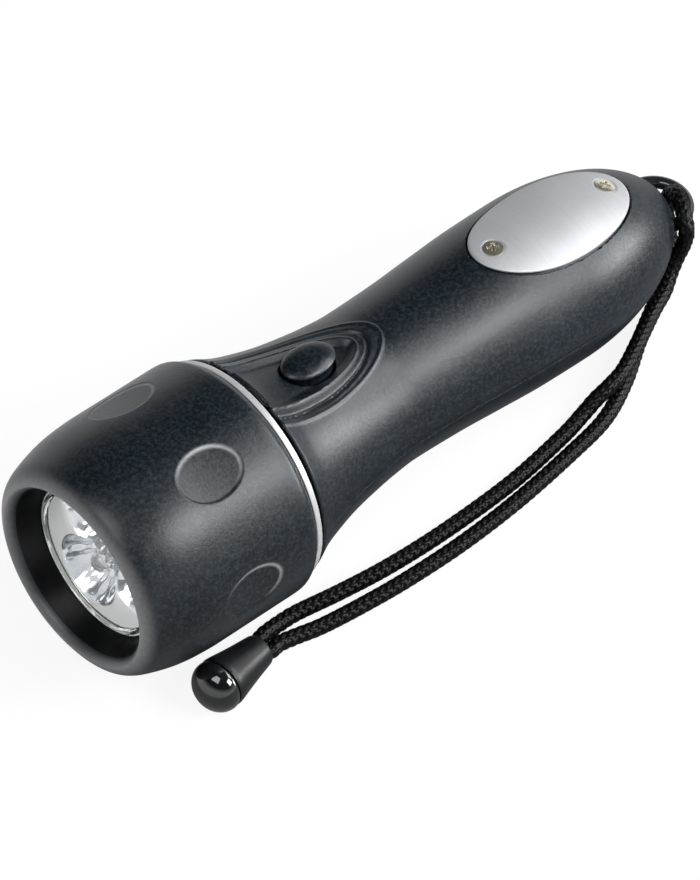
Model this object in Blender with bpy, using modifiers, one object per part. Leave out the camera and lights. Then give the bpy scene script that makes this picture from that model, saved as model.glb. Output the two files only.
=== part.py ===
"""A pocket LED flashlight lying on its side, with a wrist cord laid beside it.

The torch is modelled along the local X axis of an empty: x is the distance from the front rim,
y points to the far side and z to the push button. The empty is tilted and raised so that the head
and the tail touch the floor, which is the plane z = 0. All lengths are in metres.
"""

import math

import bmesh
import bpy
from mathutils import Matrix, Vector

# Clearances and cutting
GAP = 0.0003
THREAD_GAP = 0.00035
CUT_OVERRUN = 0.002
MERGE_DISTANCE = 0.00001

# Round cells and the tube that holds them
CELL_COUNT = 2
CELL_RADIUS = 0.0131
CELL_LENGTH = 0.0500
CELL_NUB_RADIUS = 0.0033
CELL_NUB_HEIGHT = 0.0015
CELL_EDGE = 0.0008
CELL_CLEARANCE = 0.0005
CELL_INSET = 0.0005
TUBE_WALL = 0.0016
TUBE_FLOOR = 0.0015
TUBE_LEAD = 0.0020

# Grip shells
SHELL_WALL = 0.0020
GRIP_SWELL = 0.0017
NECK_FLARE = 0.0075
NECK_EDGE = 0.0004
WAIST_DISTANCE = 0.0350
TUBE_TAIL_REACH = 0.0117
TAIL_LENGTH = 0.0356
SEAM_DROP = 0.0010
FLARE_SHARES = ((0.13, 0.735), (0.28, 0.510), (0.45, 0.310), (0.62, 0.175), (0.80, 0.065))
SWELL_SHARES = ((0.25, 0.15), (0.50, 0.55), (0.75, 0.92))
TAIL_ANGLE_SHARES = (0.18, 0.36, 0.53, 0.69, 0.83, 0.94)

# Head
HEAD_LENGTH = 0.0447
HEAD_STEP = 0.0022
HEAD_SHOULDER = 0.0027
HEAD_REAR_DROP = 0.0014
HEAD_FRONT_LENGTH = 0.0180
RIM_RADIUS = 0.0223
RIM_FLAT = 0.0010
MOUTH_RADIUS = 0.0199
MOUTH_DEPTH = 0.0030
HEAD_BORE = 0.0202
HEAD_NOSE_SHARES = ((0.028, 0.145), (0.089, 0.310), (0.222, 0.470), (0.389, 0.635), (0.667, 0.860))
PAD_COUNT = 6
PAD_SETBACK = 0.0181
PAD_LENGTH = 0.0153
PAD_WIDTH = 0.0115
PAD_DROP = 0.00085
PAD_CUTTER = 0.0020
CHAMBER_LEAD = 0.0025

# Lens, reflector and light board
LIP_RADIUS = 0.0176
LENS_DEPTH = 0.00825
LIP_THICKNESS = 0.0007
LENS_RECESS = 0.0002
LENS_FLANGE = 0.0013
SEAL_SECTION = 0.00045
REFLECTOR_DEPTH = 0.0078
REFLECTOR_SKIRT = 0.0012
REFLECTOR_SKIRT_WALL = 0.0014
CUP_COUNT = 3
CUP_RADIUS = 0.0084
CUP_DISTANCE = 0.0089
CUP_TURN_SHARE = 1 / 6
LED_RADIUS = 0.0025
LED_FLANGE_RADIUS = 0.0029
LED_FLANGE = 0.0009
LED_HEIGHT = 0.0076
BOARD_THICKNESS = 0.0016
RETAINER_LENGTH = 0.0040
RETAINER_WALL = 0.0028
CENTRE_SPRING_RADIUS = 0.0032
CENTRE_SPRING_WIRE = 0.0004
CENTRE_SPRING_TURNS = 5

# Neck
RING_WIDTH = 0.0014
RING_PROUD = 0.0007
RING_SETBACK = 0.0016
RING_EDGE = 0.0003
RING_GROOVE = 0.0012
COLLAR_REACH = 0.0141
COLLAR_WALL = 0.0020
COLLAR_WEB = 0.0022
SPIGOT_LENGTH = 0.0028
SPIGOT_SETBACK = 0.0033
NECK_SEAL_SECTION = 0.0003

# Tail contact
TAIL_SPRING_LENGTH = 0.0062
TAIL_SPRING_WIRE = 0.00045
TAIL_SPRING_FRONT_RADIUS = 0.0040
TAIL_SPRING_REAR_RADIUS = 0.0062
TAIL_SPRING_TURNS = 3.5
CONTACT_RADIUS = 0.0072
CONTACT_THICKNESS = 0.0006
RIVET_RADIUS = 0.0015
STRIP_THICKNESS = 0.0005
STRIP_WIDTH = 0.0050
STRIP_LEG_REACH = 0.0020

# Switch and push button
BUTTON_SETBACK = 0.0169
BUTTON_LENGTH = 0.0129
BUTTON_WIDTH = 0.0094
BUTTON_TRAVEL = 0.0012
BUTTON_DOME = 0.0014
BUTTON_PROUD = 0.0026
BUTTON_DEPTH = 0.0049
SOCKET_DEPTH = 0.0015
SWITCH_LENGTH = 0.0110
SWITCH_WIDTH = 0.0080
SWITCH_LIFT = 0.00035
PLUNGER_RADIUS = 0.0015
PLUNGER_DEPTH = 0.0004
PLUNGER_REST = 0.0002
RETURN_SPRING_WIRE = 0.00022
RETURN_SPRING_TURNS = 2
ARCH_SETBACK = 0.0024
ARCH_LENGTH = 0.0335
ARCH_HALF_WIDTH = 0.0112
ARCH_BAND_LENGTH = 0.0065
ARCH_BAND_WIDTH = 0.0038
ARCH_BAND_DEPTH = 0.0004
ARCH_FLOOR_DEPTH = 0.0009

# Oval plate and its screws
PLATE_SETBACK = 0.0022
PLATE_LENGTH = 0.0415
PLATE_WIDTH = 0.0224
PLATE_PROUD = 0.00035
PLATE_THICKNESS = 0.00075
SCREW_SPACING = 0.0320
SCREW_HEAD_RADIUS = 0.00215
SCREW_HEAD_HEIGHT = 0.00050
SCREW_HEAD_SINK = 0.00045
SCREW_SHANK_RADIUS = 0.0011
SCREW_LENGTH = 0.0030
SCREW_SLOT_WIDTH = 0.0005
SCREW_SLOT_LENGTH = 0.0024
SCREW_SLOT_DEPTH = 0.0002
BOSS_RADIUS = 0.0032

# Lanyard loop at the tail
LOOP_RADIUS = 0.0069
LOOP_BAR_RADIUS = 0.0014
EYE_WIDTH = 0.0044

# Wrist cord and its end pieces, laid on the floor
CORD_RADIUS = 0.0018
CORD_SPACING = 0.0040
STOPPER_RADIUS = 0.0057
STOPPER_MOUTH_RADIUS = 0.0037
STOPPER_LENGTH = 0.0130
STOPPER_BORE_RADIUS = 0.0029
STOPPER_WALL = 0.0012
STOPPER_EDGE = 0.0005
CAP_LENGTH = 0.0054
CAP_RIM = 0.0008
STOPPER_JOINT = Vector((-0.0677, -0.0257, STOPPER_RADIUS))
STOPPER_HEADING = math.radians(9.5)

# The cord's route, chosen by hand on the floor and through the loop's eye. It runs from the
# stopper along the outer strand, up through the eye and back along the inner strand. The route and
# the stopper move along x with the loop, whose middle is at the anchor for the lengths above.
CORD_ANCHOR = 0.07868
CORD_ROUTE = (
    (-0.0508, -0.0248, 0.0031),
    (-0.0465, -0.0254, 0.0024),
    (-0.0408, -0.0267, 0.0019),
    (-0.0315, -0.0283, 0.0019),
    (-0.0200, -0.0297, 0.0019),
    (-0.0050, -0.0305, 0.0019),
    (0.0110, -0.0301, 0.0019),
    (0.0273, -0.0285, 0.0019),
    (0.0390, -0.0266, 0.0019),
    (0.0490, -0.0222, 0.0019),
    (0.0585, -0.0163, 0.0019),
    (0.0667, -0.0118, 0.0019),
    (0.0738, -0.0078, 0.0020),
    (0.0782, -0.0052, 0.0040),
    (0.0807, -0.0023, 0.0074),
    (0.0817, -0.0004, 0.0113),
    (0.0820, -0.0001, 0.0158),
    (0.0823, -0.0019, 0.0195),
    (0.0808, -0.0051, 0.0207),
    (0.0791, -0.0084, 0.0200),
    (0.0778, -0.0105, 0.0175),
    (0.0772, -0.0103, 0.0138),
    (0.0758, -0.0098, 0.0103),
    (0.0733, -0.0104, 0.0076),
    (0.0698, -0.0122, 0.0059),
    (0.0645, -0.0144, 0.0056),
    (0.0564, -0.0184, 0.0056),
    (0.0490, -0.0218, 0.0056),
    (0.0440, -0.0228, 0.0053),
    (0.0400, -0.0228, 0.0042),
    (0.0360, -0.0230, 0.0027),
    (0.0290, -0.0240, 0.0019),
    (0.0133, -0.0257, 0.0019),
    (-0.0050, -0.0257, 0.0019),
    (-0.0200, -0.0246, 0.0019),
    (-0.0320, -0.0227, 0.0019),
    (-0.0420, -0.0207, 0.0020),
    (-0.0470, -0.0205, 0.0024),
    (-0.0512, -0.0209, 0.0031),
)

# Fineness of the round forms
BODY_SIDES = 48
INNER_SIDES = 32
SMALL_SIDES = 16
OVAL_SIDES = 36
TORUS_SECTION_SIDES = 6
COIL_POINTS_PER_TURN = 9
CORD_RESOLUTION = 2

# Radii that follow from the cells outwards
TUBE_BORE = CELL_RADIUS + CELL_CLEARANCE
TUBE_RADIUS = TUBE_BORE + TUBE_WALL
SHELL_BORE = TUBE_RADIUS + GAP
WAIST_RADIUS = SHELL_BORE + SHELL_WALL
GRIP_RADIUS = WAIST_RADIUS + GRIP_SWELL
NECK_RADIUS = WAIST_RADIUS + NECK_FLARE
HEAD_RADIUS = NECK_RADIUS + HEAD_STEP
COLLAR_RADIUS = NECK_RADIUS - RING_SETBACK
SPIGOT_RADIUS = NECK_RADIUS - SPIGOT_SETBACK
CHAMBER_RADIUS = COLLAR_RADIUS + THREAD_GAP

# Stations along the axis, from the front rim to the tail
LIP_BACK = LENS_DEPTH + LIP_THICKNESS
SEAL_STATION = LIP_BACK + GAP + SEAL_SECTION
LENS_FLANGE_FRONT = LIP_BACK + GAP
LENS_BACK = LENS_FLANGE_FRONT + LENS_FLANGE
REFLECTOR_FRONT = LENS_BACK + GAP
REFLECTOR_BACK = REFLECTOR_FRONT + REFLECTOR_DEPTH
LED_FLANGE_FRONT = REFLECTOR_BACK + GAP
BOARD_FRONT = REFLECTOR_BACK + REFLECTOR_SKIRT + GAP
BOARD_BACK = BOARD_FRONT + BOARD_THICKNESS
RETAINER_FRONT = BOARD_BACK + GAP
RETAINER_BACK = RETAINER_FRONT + RETAINER_LENGTH
RING_FRONT = HEAD_LENGTH + GAP
RING_BACK = RING_FRONT + RING_WIDTH
NECK_STATION = RING_BACK + RING_GROOVE
WAIST_STATION = NECK_STATION + WAIST_DISTANCE
COLLAR_FRONT = NECK_STATION - COLLAR_REACH
CHAMBER_FRONT = COLLAR_FRONT - CHAMBER_LEAD
TUBE_FRONT = COLLAR_FRONT - TUBE_LEAD
CELL_FRONT = TUBE_FRONT + CELL_INSET
CELLS_BACK = CELL_FRONT + CELL_COUNT * CELL_LENGTH + (CELL_COUNT - 1) * GAP
TAIL_SPRING_FRONT = CELLS_BACK + GAP
CONTACT_FRONT = TAIL_SPRING_FRONT + TAIL_SPRING_LENGTH + GAP
FLOOR_FRONT = CONTACT_FRONT + CONTACT_THICKNESS + GAP
TUBE_BACK = FLOOR_FRONT + TUBE_FLOOR
GRIP_STATION = TUBE_BACK - TUBE_TAIL_REACH
GRIP_DISTANCE = GRIP_STATION - WAIST_STATION
TAIL_TIP = GRIP_STATION + TAIL_LENGTH
STRIP_LEG_FRONT = TUBE_BACK + GAP + GAP
LOOP_STATION = TAIL_TIP + EYE_WIDTH + LOOP_BAR_RADIUS - LOOP_RADIUS
PAD_STATION = HEAD_LENGTH - PAD_SETBACK
ARCH_STATION = NECK_STATION + ARCH_SETBACK
BUTTON_STATION = NECK_STATION + BUTTON_SETBACK
PLATE_STATION = GRIP_STATION + PLATE_SETBACK

# Heights of the switch parts over the torch's axis. The plunger stops just above the base.
SWITCH_HEIGHT = PLUNGER_DEPTH + BUTTON_TRAVEL + PLUNGER_REST
SWITCH_BASE = CELL_RADIUS + SWITCH_LIFT
SWITCH_TOP = SWITCH_BASE + SWITCH_HEIGHT


def smooth_curve(points, steps):
    """A Catmull-Rom curve through the points, with that many steps between two of them."""
    line = [Vector(point) for point in points]
    line = [2 * line[0] - line[1]] + line + [2 * line[-1] - line[-2]]
    result = []
    for index in range(1, len(line) - 2):
        before, start, end, after = line[index - 1:index + 3]
        for step in range(steps):
            t = step / steps
            linear = (end - before) * t
            square = (2 * before - 5 * start + 4 * end - after) * t ** 2
            cube = (3 * start - before - 3 * end + after) * t ** 3
            result.append((2 * start + linear + square + cube) / 2)
    result.append(line[-2])
    return result


def grip_stations():
    """Outer radius of the grip shells as (radius, station) pairs, from the neck to the tail tip."""
    pairs = [(NECK_RADIUS - NECK_EDGE, NECK_STATION), (NECK_RADIUS, NECK_STATION + NECK_EDGE)]
    for along, height in FLARE_SHARES:
        pairs.append((WAIST_RADIUS + height * NECK_FLARE, NECK_STATION + along * WAIST_DISTANCE))
    pairs.append((WAIST_RADIUS, WAIST_STATION))
    for along, height in SWELL_SHARES:
        pairs.append((WAIST_RADIUS + height * GRIP_SWELL, WAIST_STATION + along * GRIP_DISTANCE))
    pairs.append((GRIP_RADIUS, GRIP_STATION))
    for share in TAIL_ANGLE_SHARES:
        angle = share * math.pi / 2
        pairs.append((GRIP_RADIUS * math.cos(angle), GRIP_STATION + TAIL_LENGTH * math.sin(angle)))
    pairs.append((0, TAIL_TIP))
    return pairs


def grip_radius(station):
    """Outer radius of the grip at a station, read along its profile."""
    pairs = grip_stations()
    for (radius_a, station_a), (radius_b, station_b) in zip(pairs, pairs[1:]):
        if station_a <= station <= station_b:
            share = (station - station_a) / (station_b - station_a)
            return radius_a + share * (radius_b - radius_a)
    return 0


def grip_normal(station):
    """Outward direction of the grip's surface on top of the torch at a station."""
    step = GAP
    slope = (grip_radius(station + step) - grip_radius(station - step)) / (2 * step)
    return Vector((-slope, 0, 1)).normalized()


def offset_grip(offset):
    """Profile of a solid body of revolution whose surface lies that far outside the grip."""
    pairs = [(0, NECK_STATION - CUT_OVERRUN), (NECK_RADIUS + offset, NECK_STATION - CUT_OVERRUN)]
    for radius, station in grip_stations()[1:-1]:
        pairs.append((radius + offset, station))
    pairs.append((0, TAIL_TIP + offset))
    return pairs


def rest_tilt():
    """Tilt of the torch when its head's rear edge and its tail ellipsoid touch the floor."""
    reach = GRIP_STATION - (HEAD_LENGTH - HEAD_SHOULDER)
    low, high = 0.0, math.pi / 4
    for _ in range(50):
        tilt = (low + high) / 2
        tail = math.hypot(TAIL_LENGTH * math.sin(tilt), GRIP_RADIUS * math.cos(tilt))
        if reach * math.sin(tilt) + tail < HEAD_RADIUS * math.cos(tilt):
            low = tilt
        else:
            high = tilt
    return tilt


def new_collection(name):
    """A new collection in the scene."""
    collection = bpy.data.collections.new(name)
    bpy.context.scene.collection.children.link(collection)
    return collection


class Builder:
    """Makes objects, gives them a parent and a material and puts them in a collection."""

    def __init__(self):
        self.parts = new_collection("led_flashlight")
        self.cutters = new_collection("cutters")
        self.torch = bpy.data.objects.new("torch_axis", None)
        self.parts.objects.link(self.torch)
        self.materials = {}
        self.cord_shift = Vector()

    def material(self, name, color, roughness, metallic=0.0):
        """A Principled material, made once for each name."""
        if name not in self.materials:
            material = bpy.data.materials.new(name)
            material.use_nodes = True
            shader = material.node_tree.nodes["Principled BSDF"]
            shader.inputs["Base Color"].default_value = (*color, 1.0)
            shader.inputs["Roughness"].default_value = roughness
            shader.inputs["Metallic"].default_value = metallic
            self.materials[name] = material
        return self.materials[name]

    def add(self, name, data, material=None, parent=True):
        """Links a new object: a part if it has a material, otherwise a cutter."""
        obj = bpy.data.objects.new(name, data)
        if material is None:
            self.cutters.objects.link(obj)
            obj.display_type = "WIRE"
            obj.hide_render = True
        else:
            self.parts.objects.link(obj)
            data.materials.append(material)
        if parent:
            obj.parent = self.torch
        return obj

    def turned(self, name, profile, material=None, sides=INNER_SIDES, closed=True):
        """A body of revolution about the torch's axis.

        The profile lists (radius, station) pairs, along the outer side from front to rear and then,
        for a hollow piece, back along the bore.
        """
        start = math.pi / sides
        mesh = bpy.data.meshes.new(name)
        shape = bmesh.new()
        vertices = []
        for radius, station in reversed(profile):
            place = (radius * math.cos(start), radius * math.sin(start), station)
            vertices.append(shape.verts.new(place))
        for first, second in zip(vertices, vertices[1:]):
            shape.edges.new((first, second))
        if closed:
            shape.edges.new((vertices[-1], vertices[0]))
        shape.to_mesh(mesh)
        shape.free()
        obj = self.add(name, mesh, material)
        obj.rotation_euler = (0, math.pi / 2, 0)
        screw = obj.modifiers.new("turn", "SCREW")
        screw.steps = sides
        screw.render_steps = sides
        screw.use_merge_vertices = True
        screw.merge_threshold = MERGE_DISTANCE
        return obj

    def solid_turned(self, name, profile, material=None, sides=INNER_SIDES):
        """A body of revolution whose profile starts and ends on the axis."""
        return self.turned(name, profile, material, sides, closed=False)

    def bead(self, name, radius, station, section, material):
        """A round ring about the axis, such as an O-ring."""
        count = TORUS_SECTION_SIDES
        profile = []
        for index in range(count):
            angle = 2 * math.pi * (index + 0.5) / count
            profile.append((radius + section * math.sin(angle), station - section * math.cos(angle)))
        return self.turned(name, profile, material)

    def box(self, name, low, high, material=None):
        """A box between two corners in the torch's frame."""
        low, high = Vector(low), Vector(high)
        size = high - low
        shape = bmesh.new()
        scale = Matrix.Diagonal((*size, 1.0))
        bmesh.ops.create_cube(shape, size=1.0, matrix=Matrix.Translation((low + high) / 2) @ scale)
        return self.from_bmesh(name, shape, material)

    def rod(self, name, start, direction, radius, length, material=None, sides=SMALL_SIDES, tip_radius=None):
        """A cylinder or cone that starts at a point and runs along a direction."""
        direction = Vector(direction).normalized()
        turn = direction.to_track_quat("Z", "Y").to_matrix().to_4x4()
        place = Matrix.Translation(Vector(start) + direction * length / 2) @ turn
        shape = bmesh.new()
        end_radius = radius if tip_radius is None else tip_radius
        bmesh.ops.create_cone(shape, cap_ends=True, segments=sides, radius1=radius, radius2=end_radius,
                              depth=length, matrix=place)
        return self.from_bmesh(name, shape, material)

    def oval_post(self, name, place, half_length, half_width, depth, edge=0, material=None):
        """An upright oval post whose top centre lies at the origin of its placement matrix.

        Its long axis runs along the placement's x and its top rim is rounded by the edge length.
        """
        shape = bmesh.new()
        scale = Matrix.Diagonal((half_length, half_width, depth, 1.0))
        bmesh.ops.create_cone(shape, cap_ends=True, segments=OVAL_SIDES, radius1=1, radius2=1, depth=1,
                              matrix=scale)
        if edge:
            rim = [e for e in shape.edges if all(v.co.z > 0 for v in e.verts)]
            bmesh.ops.bevel(shape, geom=rim, offset=edge, segments=2, profile=0.5, affect="EDGES")
        shift = Matrix.Translation((0, 0, -depth / 2))
        bmesh.ops.transform(shape, matrix=place @ shift, verts=shape.verts)
        return self.from_bmesh(name, shape, material)

    def from_bmesh(self, name, shape, material):
        """Turns a bmesh into an object."""
        mesh = bpy.data.meshes.new(name)
        shape.to_mesh(mesh)
        shape.free()
        return self.add(name, mesh, material)

    def wire(self, name, points, radius, material=None, cyclic=False, resolution=CORD_RESOLUTION, parent=True):
        """A round wire through the points, with filled ends."""
        curve = bpy.data.curves.new(name, "CURVE")
        curve.dimensions = "3D"
        curve.bevel_depth = radius
        curve.bevel_resolution = resolution
        curve.use_fill_caps = True
        spline = curve.splines.new("POLY")
        spline.points.add(len(points) - 1)
        for target, point in zip(spline.points, points):
            target.co = (*point, 1.0)
        spline.use_cyclic_u = cyclic
        return self.add(name, curve, material, parent)

    def meshed(self, curve_object):
        """Replaces a curve object by the same shape as a welded mesh."""
        bpy.context.view_layer.update()
        evaluated = curve_object.evaluated_get(bpy.context.evaluated_depsgraph_get())
        mesh = bpy.data.meshes.new_from_object(evaluated)
        shape = bmesh.new()
        shape.from_mesh(mesh)
        bmesh.ops.remove_doubles(shape, verts=shape.verts, dist=MERGE_DISTANCE)
        shape.to_mesh(mesh)
        shape.free()
        name = curve_object.name
        material = mesh.materials[0] if mesh.materials else None
        mesh.materials.clear()
        curve_object.name = name + "_curve"
        obj = self.add(name, mesh, material)
        obj.matrix_basis = curve_object.matrix_basis
        bpy.data.objects.remove(curve_object)
        return obj


def combine(target, other, operation="DIFFERENCE"):
    """Adds an exact Boolean to the target."""
    modifier = target.modifiers.new(other.name, "BOOLEAN")
    modifier.solver = "EXACT"
    modifier.operation = operation
    modifier.object = other


def coil(front, back, front_radius, back_radius, turns):
    """Points of a coil about the torch's axis, between two stations."""
    count = round(turns * COIL_POINTS_PER_TURN)
    points = []
    for index in range(count + 1):
        share = index / count
        angle = 2 * math.pi * turns * share
        radius = front_radius + share * (back_radius - front_radius)
        station = front + share * (back - front)
        points.append((station, radius * math.cos(angle), radius * math.sin(angle)))
    return points


def radial_frame(station, radius, angle):
    """Placement on a cylinder: x along the torch, z outwards, at an angle from the top."""
    return Matrix.Rotation(angle, 4, "X") @ Matrix.Translation((station, 0, radius))


def make_head(build):
    """The turned head shell with its funnel mouth and its sunk, flat-floored oval pads."""
    black = build.material("soft_black_head", (0.055, 0.062, 0.072), 0.55)
    rise = HEAD_RADIUS - RIM_RADIUS
    outer = [(RIM_RADIUS - RIM_FLAT, 0), (RIM_RADIUS, 0)]
    for along, height in HEAD_NOSE_SHARES:
        outer.append((RIM_RADIUS + height * rise, along * HEAD_FRONT_LENGTH))
    outer += [
        (HEAD_RADIUS, HEAD_FRONT_LENGTH + MOUTH_DEPTH),
        (HEAD_RADIUS, HEAD_LENGTH - HEAD_SHOULDER),
        (HEAD_RADIUS - HEAD_REAR_DROP / 4, HEAD_LENGTH - HEAD_SHOULDER / 2),
        (HEAD_RADIUS - HEAD_REAR_DROP, HEAD_LENGTH),
    ]
    inner = [
        (CHAMBER_RADIUS, HEAD_LENGTH),
        (CHAMBER_RADIUS, CHAMBER_FRONT),
        (HEAD_BORE, CHAMBER_FRONT),
        (HEAD_BORE, LIP_BACK),
        (LIP_RADIUS, LIP_BACK),
        (LIP_RADIUS, LENS_DEPTH),
        (MOUTH_RADIUS, MOUTH_DEPTH),
        ((MOUTH_RADIUS + RIM_RADIUS - RIM_FLAT) / 2, MOUTH_DEPTH / 4),
    ]
    head = build.turned("head_shell", outer + inner, black, BODY_SIDES)
    for index in range(PAD_COUNT):
        angle = 2 * math.pi * (index + 0.5) / PAD_COUNT
        place = radial_frame(PAD_STATION, HEAD_RADIUS - PAD_DROP + PAD_CUTTER, angle)
        pad = build.oval_post(f"pad_{index + 1}", place, PAD_LENGTH / 2, PAD_WIDTH / 2, PAD_CUTTER)
        combine(head, pad, "DIFFERENCE")


def cup_centres():
    """Centres of the reflector's cups as (y, z) in the torch's frame."""
    centres = []
    for index in range(CUP_COUNT):
        angle = 2 * math.pi * (CUP_TURN_SHARE + index / CUP_COUNT)
        centres.append((CUP_DISTANCE * math.cos(angle), CUP_DISTANCE * math.sin(angle)))
    return centres


def make_optics(build):
    """Lens, its seal, the reflector with a cup for each LED, the LEDs, their board and its retainer."""
    clear = build.material("clear_lens", (0.85, 0.88, 0.90), 0.05)
    rubber = build.material("seal_rubber", (0.02, 0.02, 0.02), 0.7)
    chrome = build.material("reflector_chrome", (0.80, 0.81, 0.83), 0.12, 1.0)
    resin = build.material("led_resin", (0.90, 0.91, 0.80), 0.08)
    green = build.material("board_lacquer", (0.05, 0.22, 0.10), 0.4)
    plain = build.material("retainer_plastic", (0.04, 0.04, 0.045), 0.5)
    steel = build.material("spring_steel", (0.55, 0.55, 0.56), 0.3, 1.0)
    insert_radius = HEAD_BORE - GAP
    seal_radius = insert_radius - SEAL_SECTION
    flange_radius = seal_radius - SEAL_SECTION - GAP
    lens_step = LIP_RADIUS - GAP
    lens_profile = [
        (0, LENS_DEPTH + LENS_RECESS),
        (lens_step, LENS_DEPTH + LENS_RECESS),
        (lens_step, LENS_FLANGE_FRONT),
        (flange_radius, LENS_FLANGE_FRONT),
        (flange_radius, LENS_BACK),
        (0, LENS_BACK),
    ]
    build.solid_turned("lens", lens_profile, clear, BODY_SIDES)
    build.bead("lens_seal", seal_radius, SEAL_STATION, SEAL_SECTION, rubber)
    skirt_back = REFLECTOR_BACK + REFLECTOR_SKIRT
    skirt_bore = insert_radius - REFLECTOR_SKIRT_WALL
    reflector_profile = [
        (0, REFLECTOR_FRONT),
        (insert_radius, REFLECTOR_FRONT),
        (insert_radius, skirt_back),
        (skirt_bore, skirt_back),
        (skirt_bore, REFLECTOR_BACK),
        (0, REFLECTOR_BACK),
    ]
    reflector = build.solid_turned("reflector", reflector_profile, chrome, INNER_SIDES)
    hole_radius = LED_RADIUS + GAP
    for index, (y, z) in enumerate(cup_centres()):
        slope = (CUP_RADIUS - hole_radius) / REFLECTOR_DEPTH
        cup = build.rod(f"cup_{index + 1}", (REFLECTOR_FRONT - CUT_OVERRUN, y, z), (1, 0, 0),
                        CUP_RADIUS + slope * CUT_OVERRUN, REFLECTOR_DEPTH + CUT_OVERRUN + CUT_OVERRUN,
                        tip_radius=hole_radius - slope * CUT_OVERRUN)
        hole_front = REFLECTOR_FRONT + REFLECTOR_DEPTH / 2
        hole = build.rod(f"led_hole_{index + 1}", (hole_front, y, z), (1, 0, 0), hole_radius, REFLECTOR_DEPTH)
        combine(reflector, cup)
        combine(reflector, hole)
        make_led(build, f"led_{index + 1}", y, z, resin)
    build.rod("led_board", (BOARD_FRONT, 0, 0), (1, 0, 0), insert_radius, BOARD_THICKNESS, green, INNER_SIDES)
    retainer_bore = insert_radius - RETAINER_WALL
    retainer_profile = [
        (insert_radius, RETAINER_FRONT),
        (insert_radius, RETAINER_BACK),
        (retainer_bore, RETAINER_BACK),
        (retainer_bore, RETAINER_FRONT),
    ]
    build.turned("board_retainer", retainer_profile, plain)
    front = BOARD_BACK + GAP + CENTRE_SPRING_WIRE
    back = CELL_FRONT - GAP - CENTRE_SPRING_WIRE
    points = coil(front, back, CENTRE_SPRING_RADIUS, CENTRE_SPRING_RADIUS / 2, CENTRE_SPRING_TURNS)
    build.wire("centre_spring", points, CENTRE_SPRING_WIRE, steel, resolution=1)


def make_led(build, name, y, z, material):
    """One round LED with a domed tip and a flange, its axis along the torch."""
    flange_back = LED_FLANGE_FRONT + LED_FLANGE
    tip = LED_FLANGE_FRONT - LED_HEIGHT + LED_FLANGE
    centre = tip + LED_RADIUS
    profile = [(0, tip)]
    for degrees in (25, 50, 75, 90):
        angle = math.radians(degrees)
        profile.append((LED_RADIUS * math.sin(angle), centre - LED_RADIUS * math.cos(angle)))
    profile += [
        (LED_RADIUS, LED_FLANGE_FRONT),
        (LED_FLANGE_RADIUS, LED_FLANGE_FRONT),
        (LED_FLANGE_RADIUS, flange_back),
        (0, flange_back),
    ]
    led = build.solid_turned(name, profile, material, SMALL_SIDES)
    led.location = (0, y, z)


def make_neck(build):
    """The threaded neck collar, the silver trim ring that rides on it and the neck seal."""
    silver = build.material("trim_silver", (0.74, 0.75, 0.77), 0.25, 1.0)
    plain = build.material("collar_plastic", (0.05, 0.05, 0.055), 0.5)
    rubber = build.material("neck_seal_rubber", (0.02, 0.02, 0.02), 0.7)
    shoulder = NECK_STATION - GAP
    sleeve = SHELL_BORE + COLLAR_WALL
    thread_bore = COLLAR_RADIUS - COLLAR_WALL
    web = shoulder - COLLAR_WEB
    collar_profile = [
        (thread_bore, COLLAR_FRONT),
        (COLLAR_RADIUS, COLLAR_FRONT),
        (COLLAR_RADIUS, shoulder),
        (SPIGOT_RADIUS, shoulder),
        (SPIGOT_RADIUS, shoulder + SPIGOT_LENGTH),
        (SHELL_BORE, shoulder + SPIGOT_LENGTH),
        (SHELL_BORE, COLLAR_FRONT),
        (sleeve, COLLAR_FRONT),
        (sleeve, web),
        (thread_bore, web),
    ]
    build.turned("neck_collar", collar_profile, plain, BODY_SIDES)
    ring_radius = NECK_RADIUS + RING_PROUD
    ring_profile = [
        (CHAMBER_RADIUS, RING_FRONT),
        (ring_radius - RING_EDGE, RING_FRONT),
        (ring_radius, RING_FRONT + RING_EDGE),
        (ring_radius, RING_BACK - RING_EDGE),
        (ring_radius - RING_EDGE, RING_BACK),
        (CHAMBER_RADIUS, RING_BACK),
    ]
    build.turned("trim_ring", ring_profile, silver, BODY_SIDES)
    groove_middle = (RING_BACK + NECK_STATION) / 2
    build.bead("neck_seal", COLLAR_RADIUS + GAP + NECK_SEAL_SECTION, groove_middle, NECK_SEAL_SECTION, rubber)


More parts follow.
